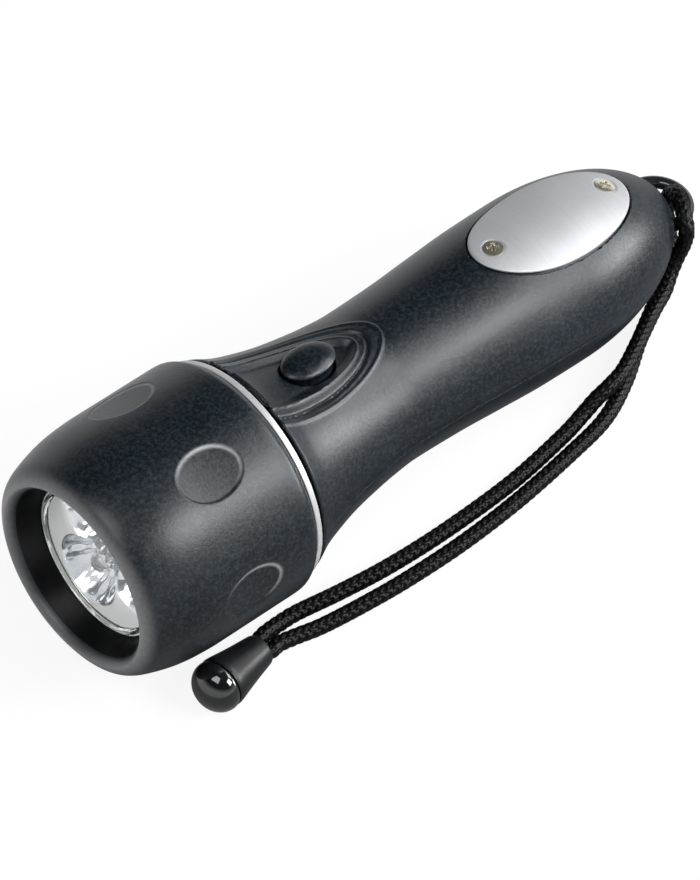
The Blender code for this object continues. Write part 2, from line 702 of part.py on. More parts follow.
def make_power(build):
    """The cell tube with its two round cells, the tail spring, the tail contact and the contact strip."""
    plain = build.material("tube_plastic", (0.07, 0.07, 0.075), 0.5)
    label = build.material("cell_sleeve", (0.10, 0.16, 0.28), 0.35)
    steel = build.material("contact_steel", (0.60, 0.60, 0.58), 0.3, 1.0)
    brass = build.material("contact_brass", (0.70, 0.55, 0.25), 0.3, 1.0)
    rivet_hole = RIVET_RADIUS + GAP
    tube_profile = [
        (TUBE_BORE, TUBE_FRONT),
        (TUBE_RADIUS, TUBE_FRONT),
        (TUBE_RADIUS, TUBE_BACK),
        (rivet_hole, TUBE_BACK),
        (rivet_hole, FLOOR_FRONT),
        (TUBE_BORE, FLOOR_FRONT),
    ]
    tube = build.turned("cell_tube", tube_profile, plain)
    switch_front, switch_back = switch_stations()
    half_window = SWITCH_WIDTH / 2 + GAP
    window = build.box("switch_window", (switch_front - GAP, -half_window, CELL_RADIUS - CUT_OVERRUN),
                       (switch_back + GAP, half_window, TUBE_RADIUS + CUT_OVERRUN))
    combine(tube, window)
    strip_top = TUBE_RADIUS
    strip_bottom = strip_top - STRIP_THICKNESS
    half_channel = STRIP_WIDTH / 2 + GAP
    channel = build.box("strip_channel", (switch_back, -half_channel, strip_bottom - GAP),
                        (TUBE_BACK + CUT_OVERRUN, half_channel, TUBE_RADIUS + CUT_OVERRUN))
    combine(tube, channel)
    for index in range(CELL_COUNT):
        front = CELL_FRONT + index * (CELL_LENGTH + GAP)
        profile = [
            (0, front),
            (CELL_NUB_RADIUS, front),
            (CELL_NUB_RADIUS, front + CELL_NUB_HEIGHT),
            (CELL_RADIUS - CELL_EDGE, front + CELL_NUB_HEIGHT),
            (CELL_RADIUS, front + CELL_NUB_HEIGHT + CELL_EDGE),
            (CELL_RADIUS, front + CELL_LENGTH - CELL_EDGE),
            (CELL_RADIUS - CELL_EDGE, front + CELL_LENGTH),
            (0, front + CELL_LENGTH),
        ]
        build.solid_turned(f"cell_{index + 1}", profile, label)
    front = TAIL_SPRING_FRONT + TAIL_SPRING_WIRE
    back = TAIL_SPRING_FRONT + TAIL_SPRING_LENGTH - TAIL_SPRING_WIRE
    points = coil(front, back, TAIL_SPRING_FRONT_RADIUS, TAIL_SPRING_REAR_RADIUS, TAIL_SPRING_TURNS)
    build.wire("tail_spring", points, TAIL_SPRING_WIRE, steel, resolution=1)
    contact_back = CONTACT_FRONT + CONTACT_THICKNESS
    contact_profile = [
        (0, CONTACT_FRONT),
        (CONTACT_RADIUS, CONTACT_FRONT),
        (CONTACT_RADIUS, contact_back),
        (RIVET_RADIUS, contact_back),
        (RIVET_RADIUS, TUBE_BACK + GAP),
        (0, TUBE_BACK + GAP),
    ]
    build.solid_turned("tail_contact", contact_profile, brass, SMALL_SIDES)
    half_strip = STRIP_WIDTH / 2
    leg_back = STRIP_LEG_FRONT + STRIP_THICKNESS
    strip = build.box("contact_strip", (switch_back + GAP, -half_strip, strip_bottom),
                      (leg_back, half_strip, strip_top), brass)
    leg = build.box("strip_leg", (STRIP_LEG_FRONT, -half_strip, -STRIP_LEG_REACH),
                    (leg_back, half_strip, strip_bottom + STRIP_THICKNESS / 2))
    combine(strip, leg, "UNION")


def switch_stations():
    """Front and rear stations of the switch body, centred under the button."""
    return BUTTON_STATION - SWITCH_LENGTH / 2, BUTTON_STATION + SWITCH_LENGTH / 2


def button_heights():
    """Heights over the axis of the button's bottom, its edge and its top."""
    top = grip_radius(BUTTON_STATION) + BUTTON_PROUD
    return top - BUTTON_DEPTH, top - BUTTON_DOME, top


def upright(obj, station):
    """Stands a turned piece up on the torch's top side, with its origin on the button's axis."""
    obj.rotation_euler = (0, 0, 0)
    obj.location = (station, 0, 0)
    return obj


def make_switch(build):
    """The switch body in the tube's window, its plunger, the return spring and the push button."""
    plain = build.material("switch_plastic", (0.03, 0.03, 0.03), 0.4)
    nylon = build.material("plunger_nylon", (0.65, 0.65, 0.62), 0.5)
    steel = build.material("return_spring_steel", (0.60, 0.60, 0.60), 0.3, 1.0)
    black = build.material("button_black", (0.03, 0.033, 0.038), 0.35)
    front, back = switch_stations()
    half_width = SWITCH_WIDTH / 2
    body = build.box("switch_body", (front, -half_width, SWITCH_BASE), (back, half_width, SWITCH_TOP), plain)
    bore = build.rod("plunger_bore", (BUTTON_STATION, 0, SWITCH_BASE - CUT_OVERRUN), (0, 0, 1),
                     PLUNGER_RADIUS + GAP, SWITCH_HEIGHT + CUT_OVERRUN + CUT_OVERRUN)
    combine(body, bore)
    bottom, edge, top = button_heights()
    socket_top = bottom + SOCKET_DEPTH
    half_length = BUTTON_LENGTH / 2
    ratio = BUTTON_WIDTH / BUTTON_LENGTH
    socket_radius = (PLUNGER_RADIUS + GAP) / ratio
    profile = [(0, socket_top), (socket_radius, socket_top), (socket_radius, bottom), (half_length, bottom)]
    for degrees in (0, 20, 40, 60, 75):
        angle = math.radians(degrees)
        profile.append((half_length * math.cos(angle), edge + BUTTON_DOME * math.sin(angle)))
    profile.append((0, top))
    button = upright(build.solid_turned("push_button", profile, black, OVAL_SIDES), BUTTON_STATION)
    button.scale = (1, ratio, 1)
    plunger_bottom = SWITCH_TOP - PLUNGER_DEPTH
    plunger_profile = [
        (0, plunger_bottom),
        (PLUNGER_RADIUS, plunger_bottom),
        (PLUNGER_RADIUS, socket_top - GAP),
        (0, socket_top - GAP),
    ]
    upright(build.solid_turned("switch_plunger", plunger_profile, nylon, SMALL_SIDES), BUTTON_STATION)
    low = SWITCH_TOP + GAP + RETURN_SPRING_WIRE
    high = bottom - GAP - RETURN_SPRING_WIRE
    radius = PLUNGER_RADIUS + GAP + GAP + RETURN_SPRING_WIRE
    points = [(BUTTON_STATION + y, z, x) for x, y, z in coil(low, high, radius, radius, RETURN_SPRING_TURNS)]
    build.wire("return_spring", points, RETURN_SPRING_WIRE, steel, resolution=1)


def skin_cutter(build, name, place, half_length, half_width, depth):
    """An oval cutter that only reaches a given depth under the grip's surface."""
    post = build.oval_post(name, place, half_length, half_width, SHELL_BORE)
    core = build.solid_turned(name + "_core", offset_grip(-depth), sides=BODY_SIDES)
    combine(post, core)
    return post


def make_shells(build):
    """The upper and lower grip shells, parted along the torch, with every recess in the upper one."""
    black = build.material("soft_black_grip", (0.055, 0.062, 0.072), 0.55)
    lower_black = build.material("soft_black_lower", (0.050, 0.056, 0.065), 0.58)
    outer = grip_stations()[:-1]
    mouth_bore = SPIGOT_RADIUS + GAP
    mouth_back = NECK_STATION + SPIGOT_LENGTH
    inner = [(0, TAIL_TIP - SHELL_WALL)]
    for share in reversed(TAIL_ANGLE_SHARES):
        angle = share * math.pi / 2
        radius = (GRIP_RADIUS - SHELL_WALL) * math.cos(angle)
        inner.append((radius, GRIP_STATION + (TAIL_LENGTH - SHELL_WALL) * math.sin(angle)))
    for radius, station in reversed(grip_stations()):
        if mouth_back < station <= GRIP_STATION:
            inner.append((max(SHELL_BORE, radius - SHELL_WALL), station))
    inner += [(grip_radius(mouth_back) - SHELL_WALL, mouth_back), (mouth_bore, mouth_back),
              (mouth_bore, NECK_STATION)]
    seam_top, seam_bottom = GAP / 2 - SEAM_DROP, -GAP / 2 - SEAM_DROP
    reach = HEAD_RADIUS + CUT_OVERRUN
    below = build.box("below_seam", (0, -reach, -reach), (TAIL_TIP + reach, reach, seam_top))
    above = build.box("above_seam", (0, -reach, seam_bottom), (TAIL_TIP + reach, reach, reach))
    loop_hole = build.meshed(build.wire("loop_hole", loop_points(), LOOP_BAR_RADIUS + GAP, cyclic=True))
    profile = [(0, NECK_STATION)] + outer + [(0, TAIL_TIP)]
    shells = []
    for name, material, cutter in (("upper_shell", black, below), ("lower_shell", lower_black, above)):
        shell = build.solid_turned(name, profile, material, BODY_SIDES)
        hollow = build.turned(name + "_hollow", inner_hollow(inner), sides=BODY_SIDES, closed=False)
        combine(shell, hollow)
        combine(shell, cutter)
        combine(shell, loop_hole)
        shells.append(shell)
    return shells[0]


def inner_hollow(inner):
    """The hollow's profile as a solid: from the open mouth on the axis to the tail."""
    radius, station = inner[-1]
    pairs = [(0, station - CUT_OVERRUN), (radius, station - CUT_OVERRUN)]
    return pairs + list(reversed(inner))


def make_recesses(build, shell):
    """Cuts the arch relief, the button hole, the plate's bed and the screw holes."""
    top = GRIP_RADIUS + NECK_FLARE + CUT_OVERRUN
    arch = Matrix.Translation((ARCH_STATION, 0, top))
    combine(shell, skin_cutter(build, "arch_band", arch, ARCH_LENGTH, ARCH_HALF_WIDTH, ARCH_BAND_DEPTH))
    combine(shell, skin_cutter(build, "arch_floor", arch, ARCH_LENGTH - ARCH_BAND_LENGTH,
                               ARCH_HALF_WIDTH - ARCH_BAND_WIDTH, ARCH_FLOOR_DEPTH))
    button = Matrix.Translation((BUTTON_STATION, 0, top))
    hole = build.oval_post("button_hole", button, BUTTON_LENGTH / 2 + GAP, BUTTON_WIDTH / 2 + GAP,
                           top - SWITCH_BASE)
    combine(shell, hole)
    plate = Matrix.Translation((PLATE_STATION, 0, top))
    bed_depth = PLATE_THICKNESS - PLATE_PROUD + GAP
    for index, station in enumerate(screw_stations()):
        normal = grip_normal(station)
        surface = Vector((station, 0, grip_radius(station)))
        boss_top = surface - normal * SHELL_WALL / 2
        length = SHELL_WALL / 2 + SCREW_LENGTH - SHELL_WALL
        boss = build.rod(f"screw_boss_{index + 1}", boss_top, -normal, BOSS_RADIUS, length)
        combine(shell, boss, "UNION")
    combine(shell, skin_cutter(build, "plate_bed", plate, PLATE_LENGTH / 2 + GAP, PLATE_WIDTH / 2 + GAP,
                               bed_depth))
    for index, station in enumerate(screw_stations()):
        normal = grip_normal(station)
        surface = Vector((station, 0, grip_radius(station)))
        drill = build.rod(f"screw_drill_{index + 1}", surface + normal * CUT_OVERRUN, -normal,
                          SCREW_SHANK_RADIUS + GAP, SCREW_LENGTH + CUT_OVERRUN + CUT_OVERRUN)
        combine(shell, drill)


def screw_stations():
    """Stations of the two plate screws."""
    return PLATE_STATION - SCREW_SPACING / 2, PLATE_STATION + SCREW_SPACING / 2


def make_plate(build):
    """The bare oval plate that follows the grip, and its two cross-recess screws."""
    silver = build.material("plate_silver", (0.72, 0.73, 0.75), 0.32, 1.0)
    nickel = build.material("screw_nickel", (0.70, 0.67, 0.60), 0.25, 1.0)
    top = GRIP_RADIUS + NECK_FLARE + CUT_OVERRUN
    place = Matrix.Translation((PLATE_STATION, 0, top))
    plate = build.oval_post("oval_plate", place, PLATE_LENGTH / 2, PLATE_WIDTH / 2, SHELL_BORE, material=silver)
    outside = build.solid_turned("plate_outside", offset_grip(PLATE_PROUD), sides=BODY_SIDES)
    inside = build.solid_turned("plate_inside", offset_grip(PLATE_PROUD - PLATE_THICKNESS), sides=BODY_SIDES)
    combine(plate, outside, "INTERSECT")
    combine(plate, inside)
    for index, station in enumerate(screw_stations()):
        normal = grip_normal(station)
        seat = Vector((station, 0, grip_radius(station) + PLATE_PROUD)) - normal * SCREW_HEAD_SINK
        sink = build.rod(f"screw_sink_{index + 1}", seat, normal, SCREW_HEAD_RADIUS + GAP,
                         SCREW_HEAD_SINK + CUT_OVERRUN)
        pass_hole = build.rod(f"screw_pass_{index + 1}", seat - normal * CUT_OVERRUN, normal,
                              SCREW_SHANK_RADIUS + GAP, CUT_OVERRUN + CUT_OVERRUN)
        combine(plate, sink)
        combine(plate, pass_hole)
        head_base = seat + normal * GAP
        name = f"plate_screw_{index + 1}"
        head = build.rod(name, head_base, normal, SCREW_HEAD_RADIUS, SCREW_HEAD_HEIGHT, nickel)
        shank = build.rod(f"screw_shank_{index + 1}", head_base + normal * SCREW_HEAD_HEIGHT / 2, -normal,
                          SCREW_SHANK_RADIUS, SCREW_HEAD_HEIGHT / 2 + SCREW_LENGTH)
        combine(head, shank, "UNION")
        for turn in (45, 135):
            slot = cross_slot(build, f"screw_slot_{index + 1}_{turn}", head_base + normal * SCREW_HEAD_HEIGHT,
                              normal, math.radians(turn))
            combine(head, slot)


def cross_slot(build, name, surface, normal, turn):
    """One bar of a cross recess, centred on the head's top face."""
    tilt = Vector((0, 0, 1)).rotation_difference(normal).to_matrix().to_4x4()
    size = Matrix.Diagonal((SCREW_SLOT_LENGTH, SCREW_SLOT_WIDTH, 2 * SCREW_SLOT_DEPTH, 1.0))
    shape = bmesh.new()
    place = Matrix.Translation(surface) @ tilt @ Matrix.Rotation(turn, 4, "Z") @ size
    bmesh.ops.create_cube(shape, size=1.0, matrix=place)
    return build.from_bmesh(name, shape, None)


def loop_points():
    """The lanyard loop's round centre line in the torch's mid plane."""
    points = []
    for index in range(BODY_SIDES // 2):
        angle = 4 * math.pi * index / BODY_SIDES
        points.append((LOOP_STATION + LOOP_RADIUS * math.cos(angle), LOOP_RADIUS * math.sin(angle), 0))
    return points


def make_loop(build):
    """The closed lanyard loop, held in the shells by its inner half."""
    gloss = build.material("loop_gloss", (0.02, 0.025, 0.035), 0.2)
    build.wire("lanyard_loop", loop_points(), LOOP_BAR_RADIUS, gloss, cyclic=True)


def stopper_frame(build):
    """Placement of the stopper on the floor: local z runs from the mouth to the domed cap."""
    droop = math.asin((STOPPER_RADIUS - STOPPER_MOUTH_RADIUS) / STOPPER_LENGTH)
    heading = math.pi + STOPPER_HEADING
    axis = Vector((math.cos(heading) * math.cos(droop), math.sin(heading) * math.cos(droop), math.sin(droop)))
    turn = axis.to_track_quat("Z", "Y").to_matrix().to_4x4()
    joint = STOPPER_JOINT + build.cord_shift
    joint.z = STOPPER_RADIUS * math.cos(droop)
    return Matrix.Translation(joint) @ turn


def make_stopper(build):
    """The cord's cone-shaped stopper and its domed cap, lying on the floor."""
    matt = build.material("stopper_black", (0.03, 0.03, 0.035), 0.35)
    gloss = build.material("cap_gloss", (0.015, 0.017, 0.02), 0.08)
    mouth = -STOPPER_LENGTH
    cavity_radius = STOPPER_RADIUS - STOPPER_WALL
    cone_profile = [
        (STOPPER_MOUTH_RADIUS - STOPPER_EDGE, mouth),
        (STOPPER_MOUTH_RADIUS, mouth + STOPPER_EDGE),
        (STOPPER_RADIUS, 0),
        (cavity_radius, 0),
        (STOPPER_BORE_RADIUS, mouth / 2),
        (STOPPER_BORE_RADIUS, mouth),
    ]
    cap_profile = [(0, GAP), (STOPPER_RADIUS, GAP), (STOPPER_RADIUS, CAP_RIM)]
    dome = CAP_LENGTH - CAP_RIM
    for degrees in (22, 42, 60, 76):
        angle = math.radians(degrees)
        cap_profile.append((STOPPER_RADIUS * math.cos(angle), CAP_RIM + dome * math.sin(angle)))
    cap_profile.append((0, CAP_LENGTH))
    place = stopper_frame(build)
    cone = build.turned("cord_stopper", cone_profile, matt, SMALL_SIDES)
    cap = build.solid_turned("stopper_cap", cap_profile, gloss, SMALL_SIDES)
    for obj in (cone, cap):
        obj.parent = None
        obj.rotation_euler = place.to_euler()
        obj.location = place.translation


def cord_ends(build):
    """The two ends of the cord, side by side just outside the stopper's mouth."""
    place = stopper_frame(build)
    axis = place.to_3x3() @ Vector((0, 0, 1))
    across = Vector((0, 0, 1)).cross(axis).normalized()
    mouth = place.translation - axis * (STOPPER_LENGTH + GAP)
    side = across * (CORD_RADIUS + GAP / 2)
    ends = []
    for sign in (1, -1):
        start = mouth + side * sign
        ends.append((start, start - axis * CORD_RADIUS))
    return ends if ends[0][0].y < ends[1][0].y else ends[::-1]


def make_cord(build):
    """The wrist cord: one tube from the stopper, through the loop's eye and back."""
    braid = build.material("cord_black", (0.02, 0.02, 0.022), 0.8)
    outer_end, inner_end = cord_ends(build)
    route = [outer_end[0], outer_end[1]] + [Vector(point) + build.cord_shift for point in CORD_ROUTE]
    route += [inner_end[1], inner_end[0]]
    fine = smooth_curve(route, 12)
    lengths = [0.0]
    for first, second in zip(fine, fine[1:]):
        lengths.append(lengths[-1] + (second - first).length)
    count = round(lengths[-1] / CORD_SPACING)
    points = []
    index = 0
    for step in range(count + 1):
        target = lengths[-1] * step / count
        while index < len(lengths) - 2 and lengths[index + 1] < target:
            index += 1
        share = (target - lengths[index]) / (lengths[index + 1] - lengths[index])
        points.append(fine[index].lerp(fine[index + 1], share))
    build.wire("wrist_cord", points, CORD_RADIUS, braid, parent=False)
    print(f"wrist cord length {lengths[-1]:.4f} m in {count} pieces")


def place_torch(build):
    """Tilts the torch onto the floor and centres the object's length on the origin."""
    tilt = rest_tilt()
    contact = HEAD_LENGTH - HEAD_SHOULDER
    height = contact * math.sin(tilt) + HEAD_RADIUS * math.cos(tilt)
    front = -RIM_RADIUS * math.sin(tilt)
    back = (LOOP_STATION + LOOP_RADIUS) * math.cos(tilt) + LOOP_BAR_RADIUS
    build.torch.location = (-(front + back) / 2, 0, height)
    build.torch.rotation_euler = (0, tilt, 0)
    loop_x = build.torch.location.x + LOOP_STATION * math.cos(tilt)
    build.cord_shift.x = loop_x - CORD_ANCHOR
    print(f"tilt {math.degrees(tilt):.3f} degrees, axis height {height:.5f} m at the rim")


def main():
    """Builds the whole flashlight."""
    for obj in list(bpy.data.objects):
        bpy.data.objects.remove(obj, do_unlink=True)
    build = Builder()
    place_torch(build)
    make_head(build)
    make_optics(build)
    make_neck(build)
    make_power(build)
    make_switch(build)
    upper = make_shells(build)
    make_recesses(build, upper)
    make_plate(build)
    make_loop(build)
    make_stopper(build)
    make_cord(build)


main()
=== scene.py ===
"""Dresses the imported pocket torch: fine meshes for what shows, a finish for every node, and a studio.

Shapes are worked out in the torch's own axes, in millimetres: u runs from the front rim to the tail,
y across the torch and z up towards the push button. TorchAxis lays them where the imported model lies.
"""

import logging
import math
from dataclasses import dataclass, field
from enum import Enum
from typing import Callable, Sequence

import bpy
import numpy as np
from mathutils import Matrix, Vector


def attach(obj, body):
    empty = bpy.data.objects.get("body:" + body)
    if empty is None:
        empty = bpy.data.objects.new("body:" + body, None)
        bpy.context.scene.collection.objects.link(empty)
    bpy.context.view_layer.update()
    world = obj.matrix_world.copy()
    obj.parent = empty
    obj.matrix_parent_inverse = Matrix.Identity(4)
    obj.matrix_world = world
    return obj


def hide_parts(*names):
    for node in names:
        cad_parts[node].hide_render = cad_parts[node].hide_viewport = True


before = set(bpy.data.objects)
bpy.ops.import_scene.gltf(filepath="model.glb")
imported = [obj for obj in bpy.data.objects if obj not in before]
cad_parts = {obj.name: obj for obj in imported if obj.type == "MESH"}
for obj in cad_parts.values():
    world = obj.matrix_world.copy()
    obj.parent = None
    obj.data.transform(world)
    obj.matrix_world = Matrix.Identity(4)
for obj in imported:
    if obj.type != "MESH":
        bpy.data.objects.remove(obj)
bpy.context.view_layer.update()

Array = np.ndarray
Colour = tuple[float, float, float]
Corner = tuple[float, float, float]
Placer = Callable[[Array, Array, Array], Array]

log = logging.getLogger("torch")

MM = 0.001
TURN = 2 * math.pi
BEND_STEPS = 6
LONGEST_BEND = 0.48


# Places and plain shapes


@dataclass(frozen=True)
class TorchAxis:
    """How the torch lies: its axis falls from the rim's middle towards the tail by a small tilt."""

    tilt: float = 0.0879828
    rim_height: float = 30.7853
    rim_shift: float = 84.989

    def place(self, u: Array, y: Array, z: Array) -> Array:
        """Turns the torch's own millimetres into the frame's metres.

        The point goes u along the fallen axis and z square to it:
        x = u cos(tilt) + z sin(tilt) - shift, height = rim height - u sin(tilt) + z cos(tilt).

        Args:
            u: Distance from the front rim.
            y: Distance across.
            z: Distance up from the axis.

        Returns:
            Points with x, y and z in the last dimension.
        """
        u, y, z = np.broadcast_arrays(np.asarray(u, float), y, z)
        cosine, sine = math.cos(self.tilt), math.sin(self.tilt)
        x_out = u * cosine + z * sine - self.rim_shift
        z_out = self.rim_height - u * sine + z * cosine
        return np.stack([x_out, y, z_out], axis=-1) * MM

    def turned(self, u: Array, radius: Array, angle: Array) -> Array:
        """Points on a circle round the axis: y = radius cos(angle), z = radius sin(angle)."""
        return self.place(u, radius * np.cos(angle), radius * np.sin(angle))


AXIS = TorchAxis()


def lattice(rows: int, columns: int, closed_rows: bool = False, closed_columns: bool = False) -> Array:
    """Four-sided faces between neighbours of a grid whose points are numbered row by row.

    Args:
        rows: Number of rows.
        columns: Number of points in a row.
        closed_rows: Whether the last row joins the first.
        closed_columns: Whether the last point of a row joins its first.

    Returns:
        One row of four point numbers for each face.
    """
    numbers = np.arange(rows * columns).reshape(rows, columns)
    if closed_rows:
        numbers = np.vstack([numbers, numbers[:1]])
    if closed_columns:
        numbers = np.hstack([numbers, numbers[:, :1]])
    corners = [numbers[:-1, :-1], numbers[1:, :-1], numbers[1:, 1:], numbers[:-1, 1:]]
    return np.stack(corners, axis=-1).reshape(-1, 4)


def enclosed_volume(points: Array, faces: Sequence[Array]) -> float:
    """Volume inside closed faces: the sum of a . (b x c) / 6 over the triangles they fan into."""
    total = 0.0
    for block in faces:
        first = points[block[:, 0]]
        for step in range(1, block.shape[1] - 1):
            cross = np.cross(points[block[:, step]], points[block[:, step + 1]])
            total += float(np.einsum("ij,ij->", first, cross)) / 6
    return total


def write_mesh(
    name: str,
    points: Array,
    faces: Sequence[Array],
    crease: float = 38.0,
    marks: dict[str, Array] | None = None,
) -> bpy.types.Object:
    """Puts points and faces into a new smooth object, with its faces turned outwards.

    Args:
        name: Name of the piece.
        points: Points in metres, in any grid shape with x, y, z last.
        faces: Blocks of faces, each block with one number of corners.
        crease: Angle in degrees past which an edge stays sharp.
        marks: Numbers for each point, kept as named attributes.

    Returns:
        The new object, at the origin.
    """
    points = np.ascontiguousarray(points.reshape(-1, 3), dtype=np.float64)
    if enclosed_volume(points, faces) < 0:
        faces = [block[:, ::-1] for block in faces]
    sizes = np.concatenate([np.full(len(block), block.shape[1]) for block in faces])
    corners = np.concatenate([block.ravel() for block in faces]).astype(np.int32)
    starts = (np.cumsum(sizes) - sizes).astype(np.int32)
    mesh = bpy.data.meshes.new(name)
    mesh.vertices.add(len(points))
    mesh.vertices.foreach_set("co", points.astype(np.float32).ravel())
    mesh.loops.add(len(corners))
    mesh.loops.foreach_set("vertex_index", corners)
    mesh.polygons.add(len(sizes))
    mesh.polygons.foreach_set("loop_start", starts)
    mesh.polygons.foreach_set("use_smooth", np.ones(len(sizes), dtype=bool))
    for mark, values in (marks or {}).items():
        store = mesh.attributes.new(mark, "FLOAT", "POINT")
        store.data.foreach_set("value", np.asarray(values, dtype=np.float32).ravel())
    mesh.update(calc_edges=True)
    mesh.validate()
    mesh.set_sharp_from_angle(angle=math.radians(crease))
    piece = bpy.data.objects.new(name, mesh)
    bpy.context.scene.collection.objects.link(piece)
    return piece


def end_fans(rows: int, sides: int) -> list[Array]:
    """Triangles that close a grid of rings with two more points, numbered just after the grid's own.

    Args:
        rows: Number of rings.
        sides: Number of points round a ring.

    Returns:
        The fan on the first ring and the fan on the last.
    """
    near = np.arange(sides)
    far = near + (rows - 1) * sides
    count = rows * sides
    return [
        np.stack([np.full(sides, count), near, np.roll(near, -1)], axis=-1),
        np.stack([np.full(sides, count + 1), np.roll(far, -1), far], axis=-1),
    ]


def turn_ring(name: str, profile: Array, sides: int, place: Placer = AXIS.turned) -> bpy.types.Object:
    """Carries a closed profile once round an axis: point (i, j) is profile point i at turn j / sides.

    Args:
        name: Name of the piece.
        profile: Pairs of station and radius round the section.
        sides: Number of steps round the axis.
        place: Where a station, a radius and an angle lie.

    Returns:
        The new object.
    """
    angle = TURN * np.arange(sides) / sides
    points = place(profile[:, :1], profile[:, 1:], angle[None, :])
    return write_mesh(name, points, [lattice(len(profile), sides, True, True)])


def turn_solid(name: str, profile: Array, sides: int, place: Placer = AXIS.turned) -> bpy.types.Object:
    """Carries an open profile, whose two ends lie on the axis, once round that axis.

    The rows between the ends form a grid, and a fan of triangles closes it at either end.

    Args:
        name: Name of the piece.
        profile: Pairs of station and radius, the first and the last with radius nought.
        sides: Number of steps round the axis.
        place: Where a station, a radius and an angle lie.

    Returns:
        The new object.
    """
    angle = TURN * np.arange(sides) / sides
    rows = len(profile) - 2
    rings = place(profile[1:-1, :1], profile[1:-1, 1:], angle[None, :]).reshape(-1, 3)
    ends = place(profile[[0, -1], 0], np.zeros(2), np.zeros(2))
    points = np.concatenate([rings, ends])
    return write_mesh(name, points, [lattice(rows, sides, False, True), *end_fans(rows, sides)])


def ease_corners(corners: Sequence[Corner], spacing: float, closed: bool = True) -> Array:
    """Walks along straight lines whose corners are eased, and returns the points of the walk.

    A corner with softness s becomes the parabola (1-t)^2 start + 2t(1-t) corner + t^2 end, whose start
    and end lie s before and after it, or the longest bend's share of a line where that is shorter.

    Args:
        corners: Station, radius and softness of each corner.
        spacing: Longest step along a straight line.
        closed: Whether the last corner joins the first.

    Returns:
        Pairs of station and radius.
    """
    spots = [np.array(corner[:2], float) for corner in corners]
    count = len(corners)
    share = np.linspace(0, 1, BEND_STEPS + 1)[:, None]
    bends = []
    for index, (_, _, softness) in enumerate(corners):
        spot = spots[index]
        is_end = not closed and index in (0, count - 1)
        if softness <= 0 or is_end:
            bends.append(spot[None, :])
            continue
        before = spots[index - 1] - spot
        after = spots[(index + 1) % count] - spot
        start = spot + before * min(softness / np.linalg.norm(before), LONGEST_BEND)
        end = spot + after * min(softness / np.linalg.norm(after), LONGEST_BEND)
        bends.append((1 - share) ** 2 * start + 2 * share * (1 - share) * spot + share**2 * end)
    walk = []
    for index, bend in enumerate(bends):
        walk.append(bend)
        if not closed and index == count - 1:
            continue
        gap = bends[(index + 1) % count][0] - bend[-1]
        steps = max(1, math.ceil(np.linalg.norm(gap) / spacing))
        between = np.arange(1, steps)[:, None] / steps
        walk.append(bend[-1] + between * gap)
    return np.concatenate(walk)


def flow_through(
    knots: Sequence[float], heights: Sequence[float], at: Array, last_slope: float | None = None
) -> Array:
    """Reads a smooth curve through knots that never overshoots them.

    Each slope is the harmonic mean of its two chords' slopes, or nought where they differ in sign, and
    a cubic joins each pair of knots.

    Args:
        knots: Rising positions.
        heights: Height at each knot.
        at: Where the curve is read.
        last_slope: Slope at the last knot, where it isn't the last chord's.

    Returns:
        Heights at those places.
    """
    knots, heights, at = np.asarray(knots, float), np.asarray(heights, float), np.asarray(at, float)
    chord = np.diff(heights) / np.diff(knots)
    product = chord[:-1] * chord[1:]
    total = np.where(product > 0, chord[:-1] + chord[1:], 1.0)
    inner = np.where(product > 0, 2 * product / total, 0.0)
    last = chord[-1] if last_slope is None else last_slope
    slopes = np.concatenate([chord[:1], inner, [last]])
    place = np.clip(np.searchsorted(knots, at, side="right") - 1, 0, len(knots) - 2)
    width = knots[place + 1] - knots[place]
    t = np.clip((at - knots[place]) / width, 0, 1)
    rise = heights[place] * (1 + 2 * t) * (1 - t) ** 2 + heights[place + 1] * t**2 * (3 - 2 * t)
    return rise + width * (slopes[place] * t * (1 - t) ** 2 - slopes[place + 1] * t**2 * (1 - t))


def step_up(value: Array) -> Array:
    """Smooth step from nought at -1/2 to one at +1/2: 3t^2 - 2t^3 with t = value + 1/2, held in 0..1."""
    t = np.clip(np.asarray(value) + 0.5, 0, 1)
    return t * t * (3 - 2 * t)


def ridge(value: Array) -> Array:
    """Bell of height one and width about one: exp(-value^2)."""
    return np.exp(-np.square(value))


@dataclass(frozen=True)
class Oval:
    """An oval on the torch's skin, by its middle and half axes."""

    middle: float
    half_length: float
    half_width: float

    def share(self, u: Array, y: Array) -> Array:
        """Distance from the middle as a share of the oval's own: one on its edge."""
        return np.hypot((u - self.middle) / self.half_length, y / self.half_width)

    def inside(self, u: Array, y: Array) -> Array:
        """Millimetres inside the edge, less than nought outside.

        The share less one, over the length of the share's gradient, is nearly the distance.
        """
        share = np.maximum(self.share(u, y), 1e-4)
        slope = np.hypot((u - self.middle) / self.half_length**2, y / self.half_width**2) / share
        return (1 - share) / np.maximum(slope, 1e-4)

    def snap(self, u: Array, y: Array, band: float) -> tuple[Array, Array]:
        """Moves grid points whose share is within a band of one onto the edge, to give it a clean line."""
        share = self.share(u, y)
        target = np.where(share < 1, 0.999, 1.001)
        factor = np.where(np.abs(share - 1) < band, target / np.maximum(share, 1e-6), 1.0)
        return self.middle + (u - self.middle) * factor, y * factor


def fit(piece: bpy.types.Object, material: bpy.types.Material, body: str, slot: str, *nodes: str) -> None:
    """Dresses a piece, lets it ride on a body and hides the nodes it stands for."""
    piece.data.materials.append(material)
    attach(piece, body)
    if nodes:
        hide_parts(*nodes)
    log.info("%s: %d faces on %s", piece.name, len(piece.data.polygons), body)


def dress(node: str, material: bpy.types.Material) -> None:
    """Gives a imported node, whose shape stays, its finish in every material slot."""
    for place in bpy.data.objects[node].material_slots:
        place.material = material
    log.info("%s: finished as %s", node, material.name)


# Finishes


